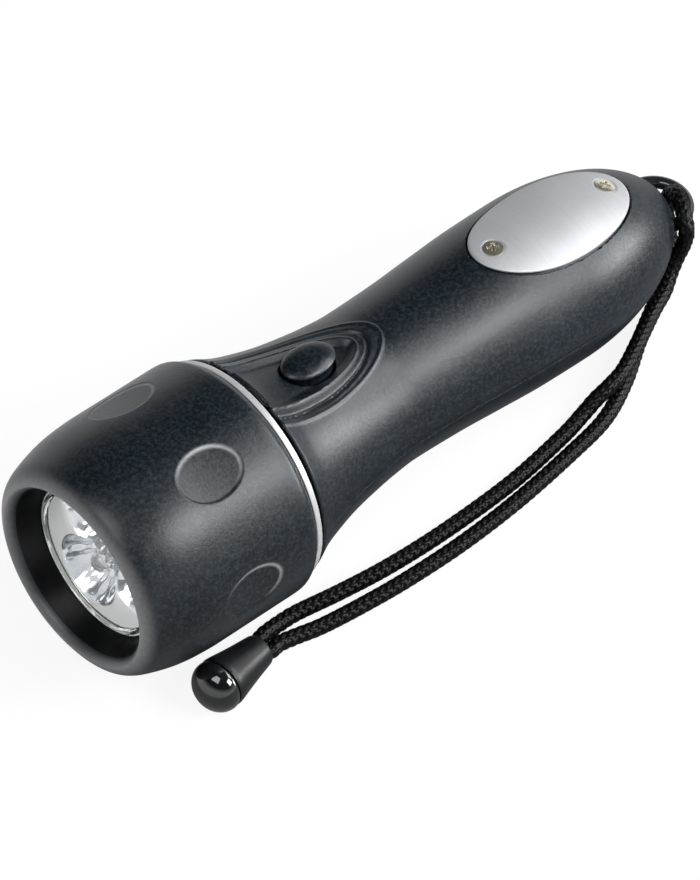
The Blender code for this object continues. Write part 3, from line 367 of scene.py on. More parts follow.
class Signal:
    """One output of a shader node, wrapped so that sums of numbers can be written in Python."""

    def __init__(self, tree: bpy.types.NodeTree, socket: bpy.types.NodeSocket) -> None:
        """Keeps the tree and the socket."""
        self.tree = tree
        self.socket = socket

    def worked(self, operation: str, *others: "Signal | float", held: bool = False) -> "Signal":
        """Adds one Math node on this number and the others.

        Args:
            operation: The Math node's operation.
            others: Signals or plain numbers for its other inputs.
            held: Whether the result is held between nought and one.

        Returns:
            The node's result.
        """
        node = self.tree.nodes.new("ShaderNodeMath")
        node.operation = operation
        node.use_clamp = held
        for place, value in zip(node.inputs, (self, *others)):
            if isinstance(value, Signal):
                self.tree.links.new(value.socket, place)
            else:
                place.default_value = value
        return Signal(self.tree, node.outputs[0])

    def __add__(self, other: "Signal | float") -> "Signal":
        """Sum of two numbers."""
        return self.worked("ADD", other)

    __radd__ = __add__

    def __sub__(self, other: "Signal | float") -> "Signal":
        """This less the other."""
        return self.worked("SUBTRACT", other)

    def __rsub__(self, other: float) -> "Signal":
        """A plain number less this."""
        return self.worked("MULTIPLY_ADD", -1.0, other)

    def __mul__(self, other: "Signal | float") -> "Signal":
        """Product of two numbers."""
        return self.worked("MULTIPLY", other)

    __rmul__ = __mul__

    def __pow__(self, other: float) -> "Signal":
        """This to a power."""
        return self.worked("POWER", other)

    def held(self) -> "Signal":
        """This, held between nought and one."""
        return self.worked("ADD", 0.0, held=True)

    def stepped(self, low: float, high: float) -> "Signal":
        """Rises from nought at low to one at high, in a straight line held at both ends."""
        return ((self - low) * (1 / (high - low))).held()


class Recipe:
    """The node graph of one material, from its first pattern to its surface."""

    def __init__(self, name: str) -> None:
        """Starts an empty material of that name."""
        self.material = bpy.data.materials.new(name)
        self.material.use_nodes = True
        self.tree = self.material.node_tree
        self.tree.nodes.clear()

    def node(
        self,
        kind: str,
        settings: dict[str, object] | None = None,
        inputs: dict[str | int, object] | None = None,
        output: str | int = 0,
    ) -> Signal:
        """Adds any node: its settings first, then the values or links of its sockets.

        Args:
            kind: Blender's name of the node type.
            settings: Properties of the node.
            inputs: Socket names or numbers with a Signal, a number, a colour or a vector each.
            output: The socket that is wanted back.

        Returns:
            That output as a Signal.
        """
        node = self.tree.nodes.new(kind)
        for key, value in (settings or {}).items():
            setattr(node, key, value)
        for key, value in (inputs or {}).items():
            place = node.inputs[key]
            if isinstance(value, Signal):
                self.tree.links.new(value.socket, place)
            elif place.type == "RGBA" and len(value) == 3:
                place.default_value = (*value, 1.0)
            else:
                place.default_value = value
        return Signal(self.tree, node.outputs[output]) if len(node.outputs) else Signal(self.tree, None)

    def spot(self) -> Signal:
        """The point's own coordinates on its object, in metres."""
        return self.node("ShaderNodeTexCoord", output="Object")

    def torch_axes(self) -> tuple[Signal, Signal, Signal]:
        """The point's u, y and z in the torch's own axes, in millimetres."""
        node = self.tree.nodes.new("ShaderNodeSeparateXYZ")
        self.tree.links.new(self.spot().socket, node.inputs[0])
        x, y, z = (Signal(self.tree, socket) * (1 / MM) for socket in node.outputs)
        cosine, sine = math.cos(AXIS.tilt), math.sin(AXIS.tilt)
        along = x + AXIS.rim_shift
        above = z - AXIS.rim_height
        return along * cosine - above * sine, y, along * sine + above * cosine

    def noise(
        self, scale: float, detail: float = 2.0, roughness: float = 0.5, at: Signal | None = None
    ) -> Signal:
        """Cloudy noise round one half, with that many clouds to the metre."""
        values = {"Vector": at or self.spot(), "Scale": scale, "Detail": detail, "Roughness": roughness}
        return self.node("ShaderNodeTexNoise", inputs=values, output=0)

    def cells(self, scale: float) -> Signal:
        """Distance to the nearest of scattered seeds, in cells of that many to the metre."""
        return self.node("ShaderNodeTexVoronoi", inputs={"Vector": self.spot(), "Scale": scale})

    def stretched(self, along: float, across: float, upward: float) -> Signal:
        """The point's coordinates stretched along the frame's axes and turned level with the torch."""
        level = (0.0, -AXIS.tilt, 0.0)
        values = {"Vector": self.spot(), "Rotation": level, "Scale": (along, across, upward)}
        return self.node("ShaderNodeMapping", inputs=values)

    def mark(self, name: str) -> Signal:
        """A number that the mesh keeps at its points."""
        return self.node("ShaderNodeAttribute", {"attribute_name": name}, output="Fac")

    def blend(self, factor: Signal | float, first: Signal | Colour, second: Signal | Colour) -> Signal:
        """A colour between two, by a factor from nought to one."""
        values = {0: factor, 6: first, 7: second}
        return self.node("ShaderNodeMix", {"data_type": "RGBA"}, values, output=2)

    def bump(self, height: Signal, depth: float, strength: float = 1.0) -> Signal:
        """A Bump node on a height from nought to one, whose full step is depth metres."""
        values = {"Height": height, "Distance": depth, "Strength": strength}
        return self.node("ShaderNodeBump", inputs=values)

    def surface(self, **sockets: object) -> bpy.types.Material:
        """Ends the graph in a Principled surface.

        Args:
            sockets: Values or Signals by the socket's name, with underscores for its blanks.

        Returns:
            The finished material.
        """
        values = {key.replace("_", " "): value for key, value in sockets.items()}
        shader = self.node("ShaderNodeBsdfPrincipled", inputs=values)
        self.node("ShaderNodeOutputMaterial", inputs={"Surface": shader})
        return self.material


@dataclass(frozen=True)
class SoftTouch:
    """Rubbery matt paint: fine speckle, slow clouds and small lint that catches the light."""

    colour: Colour = (0.0010, 0.0026, 0.0046)
    speck: Colour = (0.018, 0.029, 0.040)
    roughness: float = 0.37
    specks_to_metre: float = 1250.0
    clouds_to_metre: float = 48.0
    lint_to_metre: float = 310.0
    speck_share: float = 0.75
    cloud_share: float = 0.16
    lint_share: float = 0.12
    speck_height: float = 0.00006
    tint: Colour = (0.95, 0.98, 1.0)
    # Paler colour painted on as highlight behind the rim and along the pads' marked edges: the colour, how
    # far behind the rim, and over how much it fades.
    painted_light: Colour = (0.27, 0.27, 0.275)
    painted_light_to: float = 0.0
    painted_light_fade: float = 1.2

    def material(self, name: str) -> bpy.types.Material:
        """Mixes the paint; specks and clouds move its colour and roughness, and specks its bump.

        Up to a few millimetres behind the rim, and where the mesh marks the pads' edges, a paler colour is
        painted on: painted highlight for light that the lamps don't bring there.
        """
        mix = Recipe(name)
        specks = mix.noise(self.specks_to_metre, 3.0, 0.75)
        clouds = mix.noise(self.clouds_to_metre, 4.0, 0.6)
        lint = mix.cells(self.lint_to_metre).stepped(0.055, 0.02)
        speckled = specks.stepped(0.44, 0.74) * self.speck_share
        clouded = clouds.stepped(0.35, 0.75) * self.cloud_share
        grain = (speckled + clouded + lint * self.lint_share).held()
        roughness = self.roughness + (clouds - 0.5) * 0.10 + (specks - 0.5) * 0.26
        colour = mix.blend(grain, self.colour, self.speck)
        if self.painted_light_to > 0:
            # Painted highlight: paler towards the rim and along the pad edges that the mesh marks.
            rim = (self.painted_light_to - mix.torch_axes()[0]).stepped(0.0, self.painted_light_to - self.painted_light_fade) ** 2.2
            rubbed = (rim + mix.mark("rubbed")).held()
            colour = mix.blend(rubbed * (0.55 + specks * 0.6), colour, self.painted_light)
        return mix.surface(
            Base_Color=colour,
            Roughness=roughness,
            Normal=mix.bump(specks, self.speck_height, 0.6),
            Specular_Tint=self.tint,
        )


@dataclass(frozen=True)
class Moulded:
    """Moulded plastic or rubber: a faint mottle in colour and gloss over a fine skin texture."""

    colour: Colour
    roughness: float
    texture: float = 0.00001
    texture_scale: float = 1800.0
    mottle_scale: float = 140.0
    coat: float = 0.0
    shine: float = 0.5

    def material(self, name: str) -> bpy.types.Material:
        """Mixes the plastic; one fine noise makes the skin and one slow noise the mottle."""
        mix = Recipe(name)
        skin = mix.noise(self.texture_scale, 2.0, 0.6)
        clouds = mix.noise(self.mottle_scale, 3.0, 0.6)
        lighter = tuple(min(1.0, part * 1.35 + 0.004) for part in self.colour)
        return mix.surface(
            Base_Color=mix.blend((clouds * 0.6 + skin * 0.4).stepped(0.35, 0.65), self.colour, lighter),
            Roughness=self.roughness + (clouds - 0.5) * 0.10 + (skin - 0.5) * 0.06,
            Normal=mix.bump(skin, self.texture),
            Coat_Weight=self.coat,
            Coat_Roughness=0.06,
            Specular_IOR_Level=self.shine,
        )


@dataclass(frozen=True)
class SatinMetal:
    """Finely finished metal: hair lines in one direction, a soft cloud of wear and small dust pits."""

    colour: Colour
    roughness: float
    line_strength: float = 0.35
    lines: tuple[float, float, float] = (60.0, 2600.0, 2600.0)
    wear: Colour | None = None
    metallic: float = 1.0
    clouds_to_metre: float = 90.0
    line_height: float = 0.000006

    def material(self, name: str) -> bpy.types.Material:
        """Mixes the metal; the lines come from a noise stretched along the torch."""
        mix = Recipe(name)
        lines = mix.noise(1.0, 3.0, 0.6, mix.stretched(*self.lines))
        clouds = mix.noise(self.clouds_to_metre, 3.0, 0.55)
        darker = self.wear or tuple(part * 0.86 for part in self.colour)
        shade = (lines * self.line_strength + clouds * (1 - self.line_strength)).stepped(0.36, 0.66)
        return mix.surface(
            Base_Color=mix.blend(shade, darker, self.colour),
            Metallic=self.metallic,
            Roughness=self.roughness + (lines - 0.5) * 0.16 + (clouds - 0.5) * 0.08,
            Normal=mix.bump(lines, self.line_height, self.line_strength),
        )


@dataclass(frozen=True)
class CupMetal:
    """Vacuum-bright coating in the cups, and the same coating over a matt face round them."""

    bright: Colour = (0.80, 0.82, 0.85)
    matt: Colour = (0.92, 0.92, 0.90)
    ripples_to_metre: float = 420.0
    grains_to_metre: float = 2400.0
    ripple_height: float = 0.00006

    def material(self, name: str) -> bpy.types.Material:
        """Mixes the coating; the mesh's "matt" mark tells the face from the cups."""
        mix = Recipe(name)
        face = mix.mark("matt")
        ripple = mix.noise(self.ripples_to_metre, 1.5, 0.4)
        grain = mix.noise(self.grains_to_metre, 2.0, 0.6)
        return mix.surface(
            Base_Color=mix.blend(face, self.bright, self.matt),
            Metallic=1.0 - face * 0.88,
            Roughness=0.12 + face * 0.38 + (grain - 0.5) * face * 0.15,
            Normal=mix.bump(ripple, self.ripple_height, 0.5),
        )


@dataclass(frozen=True)
class ClearPart:
    """Clear polycarbonate or resin, with the faintest waviness and handling haze."""

    colour: Colour = (0.97, 0.985, 0.99)
    ior: float = 1.50
    haze: float = 0.012
    waves_to_metre: float = 160.0
    smears_to_metre: float = 60.0
    wave_height: float = 0.00002

    def material(self, name: str) -> bpy.types.Material:
        """Mixes the clear part; haze moves its roughness and waves its normal."""
        mix = Recipe(name)
        waves = mix.noise(self.waves_to_metre, 2.0, 0.5)
        smears = mix.noise(self.smears_to_metre, 4.0, 0.65)
        smeared = tuple(part * 0.97 for part in self.colour)
        return mix.surface(
            Base_Color=mix.blend(smears * 0.3, self.colour, smeared),
            Roughness=self.haze + smears * 0.02,
            IOR=self.ior,
            Transmission_Weight=1.0,
            Normal=mix.bump(waves, self.wave_height, 0.3),
        )


@dataclass(frozen=True)
class Braid:
    """Black braided yarn: valleys painted darker than the crowns as shade, and grey flecks painted on the
    crowns, scattered by noise, as glints.
    """

    # Valley colour, crown colour a little paler as painted shade in the valleys, and the painted glint
    # colour on the crowns.
    colour: Colour = (0.0010, 0.0010, 0.0011)
    crown: Colour = (0.0022, 0.0022, 0.0024)
    painted_glint: Colour = (0.030, 0.030, 0.032)
    fibres_to_metre: float = 3600.0
    glint_patches_to_metre: float = 900.0
    fibre_height: float = 0.00003

    def material(self, name: str) -> bpy.types.Material:
        """Mixes the yarn by the mesh's "crown" mark and two noises, one for its fibres and one for where
        the painted glints fall.
        """
        mix = Recipe(name)
        crown = mix.mark("crown")
        fibres = mix.noise(self.fibres_to_metre, 2.0, 0.7)
        glint_patches = mix.noise(self.glint_patches_to_metre, 2.0, 0.6)
        # Paler crowns over darker valleys are painted shade; the flecks on the highest crowns are painted
        # glints.
        body = mix.blend(crown ** 1.5, self.colour, self.crown)
        painted_glint = crown.stepped(0.86, 0.99) * glint_patches.stepped(0.52, 0.64) * fibres.stepped(0.40, 0.62)
        return mix.surface(
            Base_Color=mix.blend(painted_glint, body, self.painted_glint),
            Roughness=0.34 + (fibres - 0.5) * 0.2,
            Normal=mix.bump(fibres, self.fibre_height, 0.5),
            Specular_IOR_Level=0.13,
        )


@dataclass(frozen=True)
class CellSleeve:
    """A dry cell: a foil sleeve in two colours, and bare tin at both ends."""

    front: float
    back: float
    sleeve: Colour = (0.33, 0.22, 0.06)
    band: Colour = (0.02, 0.02, 0.022)
    tin: Colour = (0.62, 0.62, 0.60)
    sleeve_radius: float = 12.2
    button_length: float = 2.2
    foot_length: float = 1.2
    band_start: float = 15.0
    blur: float = 0.2
    foil_to_metre: float = 700.0
    foil_height: float = 0.00001

    def material(self, name: str) -> bpy.types.Material:
        """Mixes the sleeve by the distance along the cell and from its axis."""
        mix = Recipe(name)
        u, y, z = mix.torch_axes()
        radius = (y * y + z * z).worked("SQRT")
        side = radius.stepped(self.sleeve_radius, self.sleeve_radius + 2 * self.blur)
        behind_button = (u - (self.front + self.button_length)).stepped(0.0, self.blur)
        before_foot = ((self.back - self.foot_length) - u).stepped(0.0, self.blur)
        ends = 1.0 - behind_button * before_foot
        band = (u - (self.front + self.band_start)).stepped(0.0, self.blur)
        foil = mix.noise(self.foil_to_metre, 3.0, 0.6)
        skin = mix.blend(band, self.sleeve, self.band)
        bare = (1.0 - side * (1.0 - ends)).held()
        return mix.surface(
            Base_Color=mix.blend(bare, skin, self.tin),
            Metallic=0.55 + bare * 0.45,
            Roughness=0.30 + (foil - 0.5) * 0.12,
            Normal=mix.bump(foil, self.foil_height, 0.3),
        )


@dataclass(frozen=True)
class BoardLacquer:
    """Solder lacquer over a light board, with tracks that show through it."""

    lacquer: Colour = (0.62, 0.64, 0.60)
    track: Colour = (0.74, 0.60, 0.30)
    clouds_to_metre: float = 320.0
    tracks_to_metre: float = 260.0
    track_height: float = 0.00003

    def material(self, name: str) -> bpy.types.Material:
        """Mixes the lacquer; a brick pattern stands for the tracks."""
        mix = Recipe(name)
        cloud = mix.noise(self.clouds_to_metre, 2.0, 0.5)
        values = {"Vector": mix.spot(), "Scale": self.tracks_to_metre}
        values |= {"Mortar Size": 0.06, "Mortar Smooth": 0.3}
        bricks = mix.node("ShaderNodeTexBrick", inputs=values, output="Fac")
        return mix.surface(
            Base_Color=mix.blend(bricks * 0.7, self.lacquer, self.track),
            Roughness=0.32 + (cloud - 0.5) * 0.12,
            Normal=mix.bump(bricks, self.track_height, 0.5),
        )


class Paint(Enum):
    """The finishes of this torch, by the piece that wears them."""

    # The head's paint is painted paler on its rolled rim and along its pads' edges, as highlight.
    HEAD = SoftTouch(painted_light_to=4.2)
    GRIP = SoftTouch()
    LOWER = SoftTouch(colour=(0.0009, 0.0023, 0.0042), roughness=0.39)
    BUTTON = SoftTouch(colour=(0.0009, 0.0022, 0.0040), roughness=0.34)
    FUNNEL = Moulded((0.0012, 0.0014, 0.0017), 0.34, 0.000004, 1400.0, shine=0.25)
    TRIM = SatinMetal((0.60, 0.61, 0.62), 0.42, 0.35, (2600.0, 2600.0, 60.0), metallic=0.45)
    PLATE = SatinMetal((0.43, 0.44, 0.46), 0.50, 0.5, (2600.0, 50.0, 50.0), metallic=0.35)
    SCREW = SatinMetal((0.84, 0.80, 0.68), 0.22, 0.3, (900.0, 900.0, 900.0), (0.60, 0.56, 0.44), 0.9)
    CUPS = CupMetal()
    LENS = ClearPart()
    RESIN = ClearPart((0.96, 0.97, 0.98), 1.53, 0.01)
    LOOP = Moulded((0.010, 0.0115, 0.014), 0.16, coat=0.6)
    STOPPER = Moulded((0.004, 0.0043, 0.005), 0.34, shine=0.32)
    CAP = Moulded((0.004, 0.0045, 0.005), 0.05, texture=0.000001, coat=1.0)
    CORD = Braid()
    SEAL = Moulded((0.022, 0.022, 0.023), 0.72)
    COLLAR = Moulded((0.030, 0.031, 0.034), 0.42)
    TUBE = Moulded((0.028, 0.028, 0.030), 0.48)
    RETAINER = Moulded((0.20, 0.20, 0.21), 0.40)
    SWITCH = Moulded((0.025, 0.025, 0.027), 0.38)
    NYLON = Moulded((0.66, 0.65, 0.60), 0.45)
    STEEL = SatinMetal((0.62, 0.62, 0.61), 0.24, 0.3, (900.0, 900.0, 900.0))
    BRASS = SatinMetal((0.78, 0.62, 0.33), 0.28, 0.3, (700.0, 700.0, 700.0), (0.60, 0.44, 0.20))
    PHOSPHOR = Moulded((0.85, 0.72, 0.16), 0.5)
    FRONT_CELL = CellSleeve(32.0, 82.0)
    BACK_CELL = CellSleeve(82.3, 132.3)
    BOARD = BoardLacquer()

    def mixed(self) -> bpy.types.Material:
        """The material of this finish, mixed once and kept under its name."""
        name = "finish_" + self.name.lower()
        return bpy.data.materials.get(name) or self.value.material(name)


# The torch's pieces


@dataclass
class WristCord:
    """The braided cord, laid from its stopper through the loop's eye and back, with its end pieces."""

    route: tuple[tuple[float, float, float], ...] = (
        (-0.0508, -0.0248, 0.0031), (-0.0465, -0.0254, 0.0024), (-0.0408, -0.0267, 0.0019),
        (-0.0315, -0.0283, 0.0019), (-0.0200, -0.0297, 0.0019), (-0.0050, -0.0305, 0.0019),
        (0.0110, -0.0301, 0.0019), (0.0273, -0.0285, 0.0019), (0.0390, -0.0266, 0.0019),
        (0.0490, -0.0222, 0.0019), (0.0585, -0.0163, 0.0019), (0.0667, -0.0118, 0.0019),
        (0.0738, -0.0078, 0.0020), (0.0782, -0.0052, 0.0040), (0.0807, -0.0023, 0.0074),
        (0.0817, -0.0004, 0.0113), (0.0820, -0.0001, 0.0158), (0.0823, -0.0019, 0.0195),
        (0.0808, -0.0051, 0.0207), (0.0791, -0.0084, 0.0200), (0.0778, -0.0105, 0.0175),
        (0.0772, -0.0103, 0.0138), (0.0758, -0.0098, 0.0103), (0.0733, -0.0104, 0.0076),
        (0.0698, -0.0122, 0.0059), (0.0645, -0.0144, 0.0056), (0.0564, -0.0184, 0.0056),
        (0.0490, -0.0218, 0.0056), (0.0440, -0.0228, 0.0053), (0.0400, -0.0228, 0.0042),
        (0.0360, -0.0230, 0.0027), (0.0290, -0.0240, 0.0019), (0.0133, -0.0257, 0.0019),
        (-0.0050, -0.0257, 0.0019), (-0.0200, -0.0246, 0.0019), (-0.0320, -0.0227, 0.0019),
        (-0.0420, -0.0207, 0.0020), (-0.0470, -0.0205, 0.0024), (-0.0512, -0.0209, 0.0031),
    )
    radius: float = 1.8
    gap: float = 0.3
    tuck: float = 1.6
    pinch: float = 0.74
    pinch_end: float = 0.8
    pinch_fade: float = 3.0
    curve_steps: int = 40
    row_step: float = 0.16
    path_step: int = 6
    columns: int = 48
    strands: int = 5
    braid_pitch: float = 9.2
    core_radius: float = 1.22
    weave: float = 0.17
    strand_rise: float = 0.43
    joint: tuple[float, float] = (-67.7, -25.7)
    heading: float = math.radians(189.5)
    cone_length: float = 13.0
    cone_radius: float = 5.7
    cone_slack: float = 0.1
    cone_collar: float = 0.9
    joint_ease: float = 0.12
    joint_wall: float = 1.2
    mouth_radius: float = 3.7
    bore_radius: float = 2.9
    cap_length: float = 5.4
    cap_collar: float = 0.9
    cap_foot: tuple[tuple[float, float], ...] = ((0.3, 0.5), (0.42, 0.15), (0.6, 0.02))
    end_sides: int = 128

    def stopper_axes(self) -> tuple[Array, Array, Array, Array]:
        """Where the stopper lies on the floor.

        Its cone touches the floor along a line, so its axis rises from the mouth to the cap by the
        angle whose sine is the difference of the two radii over the cone's length.

        Returns:
            The middle of its joint, its axis from mouth to cap, and two directions square to that.
        """
        droop = math.asin((self.cone_radius - self.mouth_radius) / self.cone_length)
        middle = np.array([*self.joint, self.cone_radius * math.cos(droop)])
        level = np.array([math.cos(self.heading), math.sin(self.heading), 0.0])
        axis = level * math.cos(droop) + np.array([0.0, 0.0, math.sin(droop)])
        across = np.cross([0.0, 0.0, 1.0], axis)
        across /= np.linalg.norm(across)
        return middle, axis, across, np.cross(axis, across)

    def on_stopper(self, station: Array, radius: Array, angle: Array) -> Array:
        """Points on circles round the stopper's axis, by distance from its joint towards the cap."""
        middle, axis, across, above = self.stopper_axes()
        station, radius, angle = np.broadcast_arrays(station, radius, angle)
        ring = np.cos(angle)[..., None] * across + np.sin(angle)[..., None] * above
        return (middle + station[..., None] * axis + radius[..., None] * ring) * MM

    def line(self) -> Array:
        """The cord's centre line: a Catmull-Rom curve through the route, stepped evenly.

        Between two route points the curve is the cubic whose slope at each is half the line between
        its neighbours. The route starts and ends side by side inside the stopper's mouth.

        Returns:
            Points in millimetres, one row apart.
        """
        middle, axis, across, _ = self.stopper_axes()
        mouth = middle - axis * (self.cone_length + self.gap)
        near = across * (self.radius + self.gap / 2)
        if near[1] > 0:
            near = -near
        inside = axis * self.tuck
        start = [mouth + near * self.pinch + inside, mouth + near, mouth + near - axis * self.radius]
        end = [mouth - near - axis * self.radius, mouth - near, mouth - near * self.pinch + inside]
        knots = np.array([*start, *(np.array(point) * (1 / MM) for point in self.route), *end])
        knots = np.vstack([2 * knots[0] - knots[1], knots, 2 * knots[-1] - knots[-2]])
        t = np.linspace(0, 1, self.curve_steps, endpoint=False)[None, :, None]
        before, first, second, after = (knots[shift: len(knots) - 3 + shift, None] for shift in range(4))
        curve = (
            2 * first + (second - before) * t + (2 * before - 5 * first + 4 * second - after) * t**2
            + (3 * first - before - 3 * second + after) * t**3
        ) / 2
        curve = np.vstack([curve.reshape(-1, 3), knots[-2:-1]])
        length = np.concatenate([[0.0], np.cumsum(np.linalg.norm(np.diff(curve, axis=0), axis=1))])
        even = np.linspace(0, length[-1], round(length[-1] / self.row_step) + 1)
        return np.stack([np.interp(even, length, part) for part in curve.T], axis=-1)

    def braid(self, along: Array, angle: Array) -> tuple[Array, Array]:
        """Height of the braid's surface and how high on a strand each point is.

        Five strands wind each way. A strand's section is a half ellipse over the core, and it rises
        and falls with the cosine of its count round the cord, one way up where the other is down. The
        surface is the higher of the two.

        Args:
            along: Distance along the cord.
            angle: Angle round it.

        Returns:
            The radius, and a crown mark from nought in the valleys to one on the strands.
        """
        turns = self.strands * angle / TURN
        climb = self.strands * along / self.braid_pitch
        wave = self.weave * np.cos(self.strands * angle)
        heights, crowns = [], []
        for count, sign in ((turns + climb, 1), (turns - climb, -1)):
            off_middle = np.abs(count - np.floor(count) - 0.5) * 2
            section = np.sqrt(np.clip(1 - off_middle**2, 0, 1))
            heights.append(self.core_radius + sign * wave + self.strand_rise * section)
            crowns.append(section)
        upper = heights[0] > heights[1]
        return np.where(upper, heights[0], heights[1]), np.where(upper, crowns[0], crowns[1])

    def build(self) -> None:
        line = self.line()
        tangent = np.gradient(line, axis=0)
        tangent /= np.linalg.norm(tangent, axis=1, keepdims=True)
        guide = np.array([1.0, -1.0, -1.0]) / math.sqrt(3)
        side = guide - tangent * (tangent @ guide)[:, None]
        side /= np.linalg.norm(side, axis=1, keepdims=True)
        other = np.cross(tangent, side)
        along = self.row_step * np.arange(len(line))
        angle = TURN * np.arange(self.columns) / self.columns
        radius, crown = self.braid(along[:, None], angle[None, :])
        from_end = np.minimum(along, along[-1] - along)
        loosened = np.clip((from_end - self.pinch_end) / self.pinch_fade, 0, 1)
        pinch = self.pinch + (1 - self.pinch) * loosened
        radius = radius * pinch[:, None]
        ring = np.cos(angle)[None, :, None] * side[:, None] + np.sin(angle)[None, :, None] * other[:, None]
        points = (line[:, None] + radius[..., None] * ring).reshape(-1, 3)
        points = np.vstack([points, line[[0, -1]]]) * MM
        marks = {"crown": np.concatenate([crown.ravel(), [0.0, 0.0]])}
        faces = [lattice(len(line), self.columns, False, True), *end_fans(len(line), self.columns)]
        cord = write_mesh("braided_cord", points, faces, 180.0, marks)
        fit(cord, Paint.CORD.mixed(), "grip", "cord_black", "wrist_cord")
        cone, cap = self.build_stopper()

    def build_stopper(self) -> tuple[bpy.types.Object, bpy.types.Object]:
        """Makes the cone with its bored mouth and the domed cap, each turned from one profile.

        Returns:
            The cone and the cap.
        """
        length, wide, narrow = self.cone_length, self.cone_radius, self.mouth_radius
        section = [
            (-length, self.bore_radius, 0.3), (-length, narrow - self.cone_slack, 0.7),
            (-0.5 * length, 0.5 * (wide + narrow) - self.cone_slack, 4.0), (-self.cone_collar, wide, 1.0),
            (0.0, wide - self.joint_ease, self.joint_ease), (0.0, wide - self.joint_wall, 0),
            (-0.5 * length, self.bore_radius, 0),
        ]
        cone = turn_ring("stopper_cone", ease_corners(section, 0.5), self.end_sides, self.on_stopper)
        fit(cone, Paint.STOPPER.mixed(), "grip", "stopper_black", "cord_stopper")
        dome = self.cap_length - self.cap_collar
        rise = np.linspace(0, math.pi / 2, 40)
        flat = np.array([(self.gap, 0.0), *((station, wide - inward) for station, inward in self.cap_foot)])
        crown = np.stack([self.cap_collar + dome * np.sin(rise), wide * np.cos(rise)], axis=-1)
        crown[-1, 1] = 0.0
        cap = turn_solid("domed_cap", np.vstack([flat, crown]), self.end_sides, self.on_stopper)
        fit(cap, Paint.CAP.mixed(), "grip", "cap_gloss", "stopper_cap")
        return cone, cap


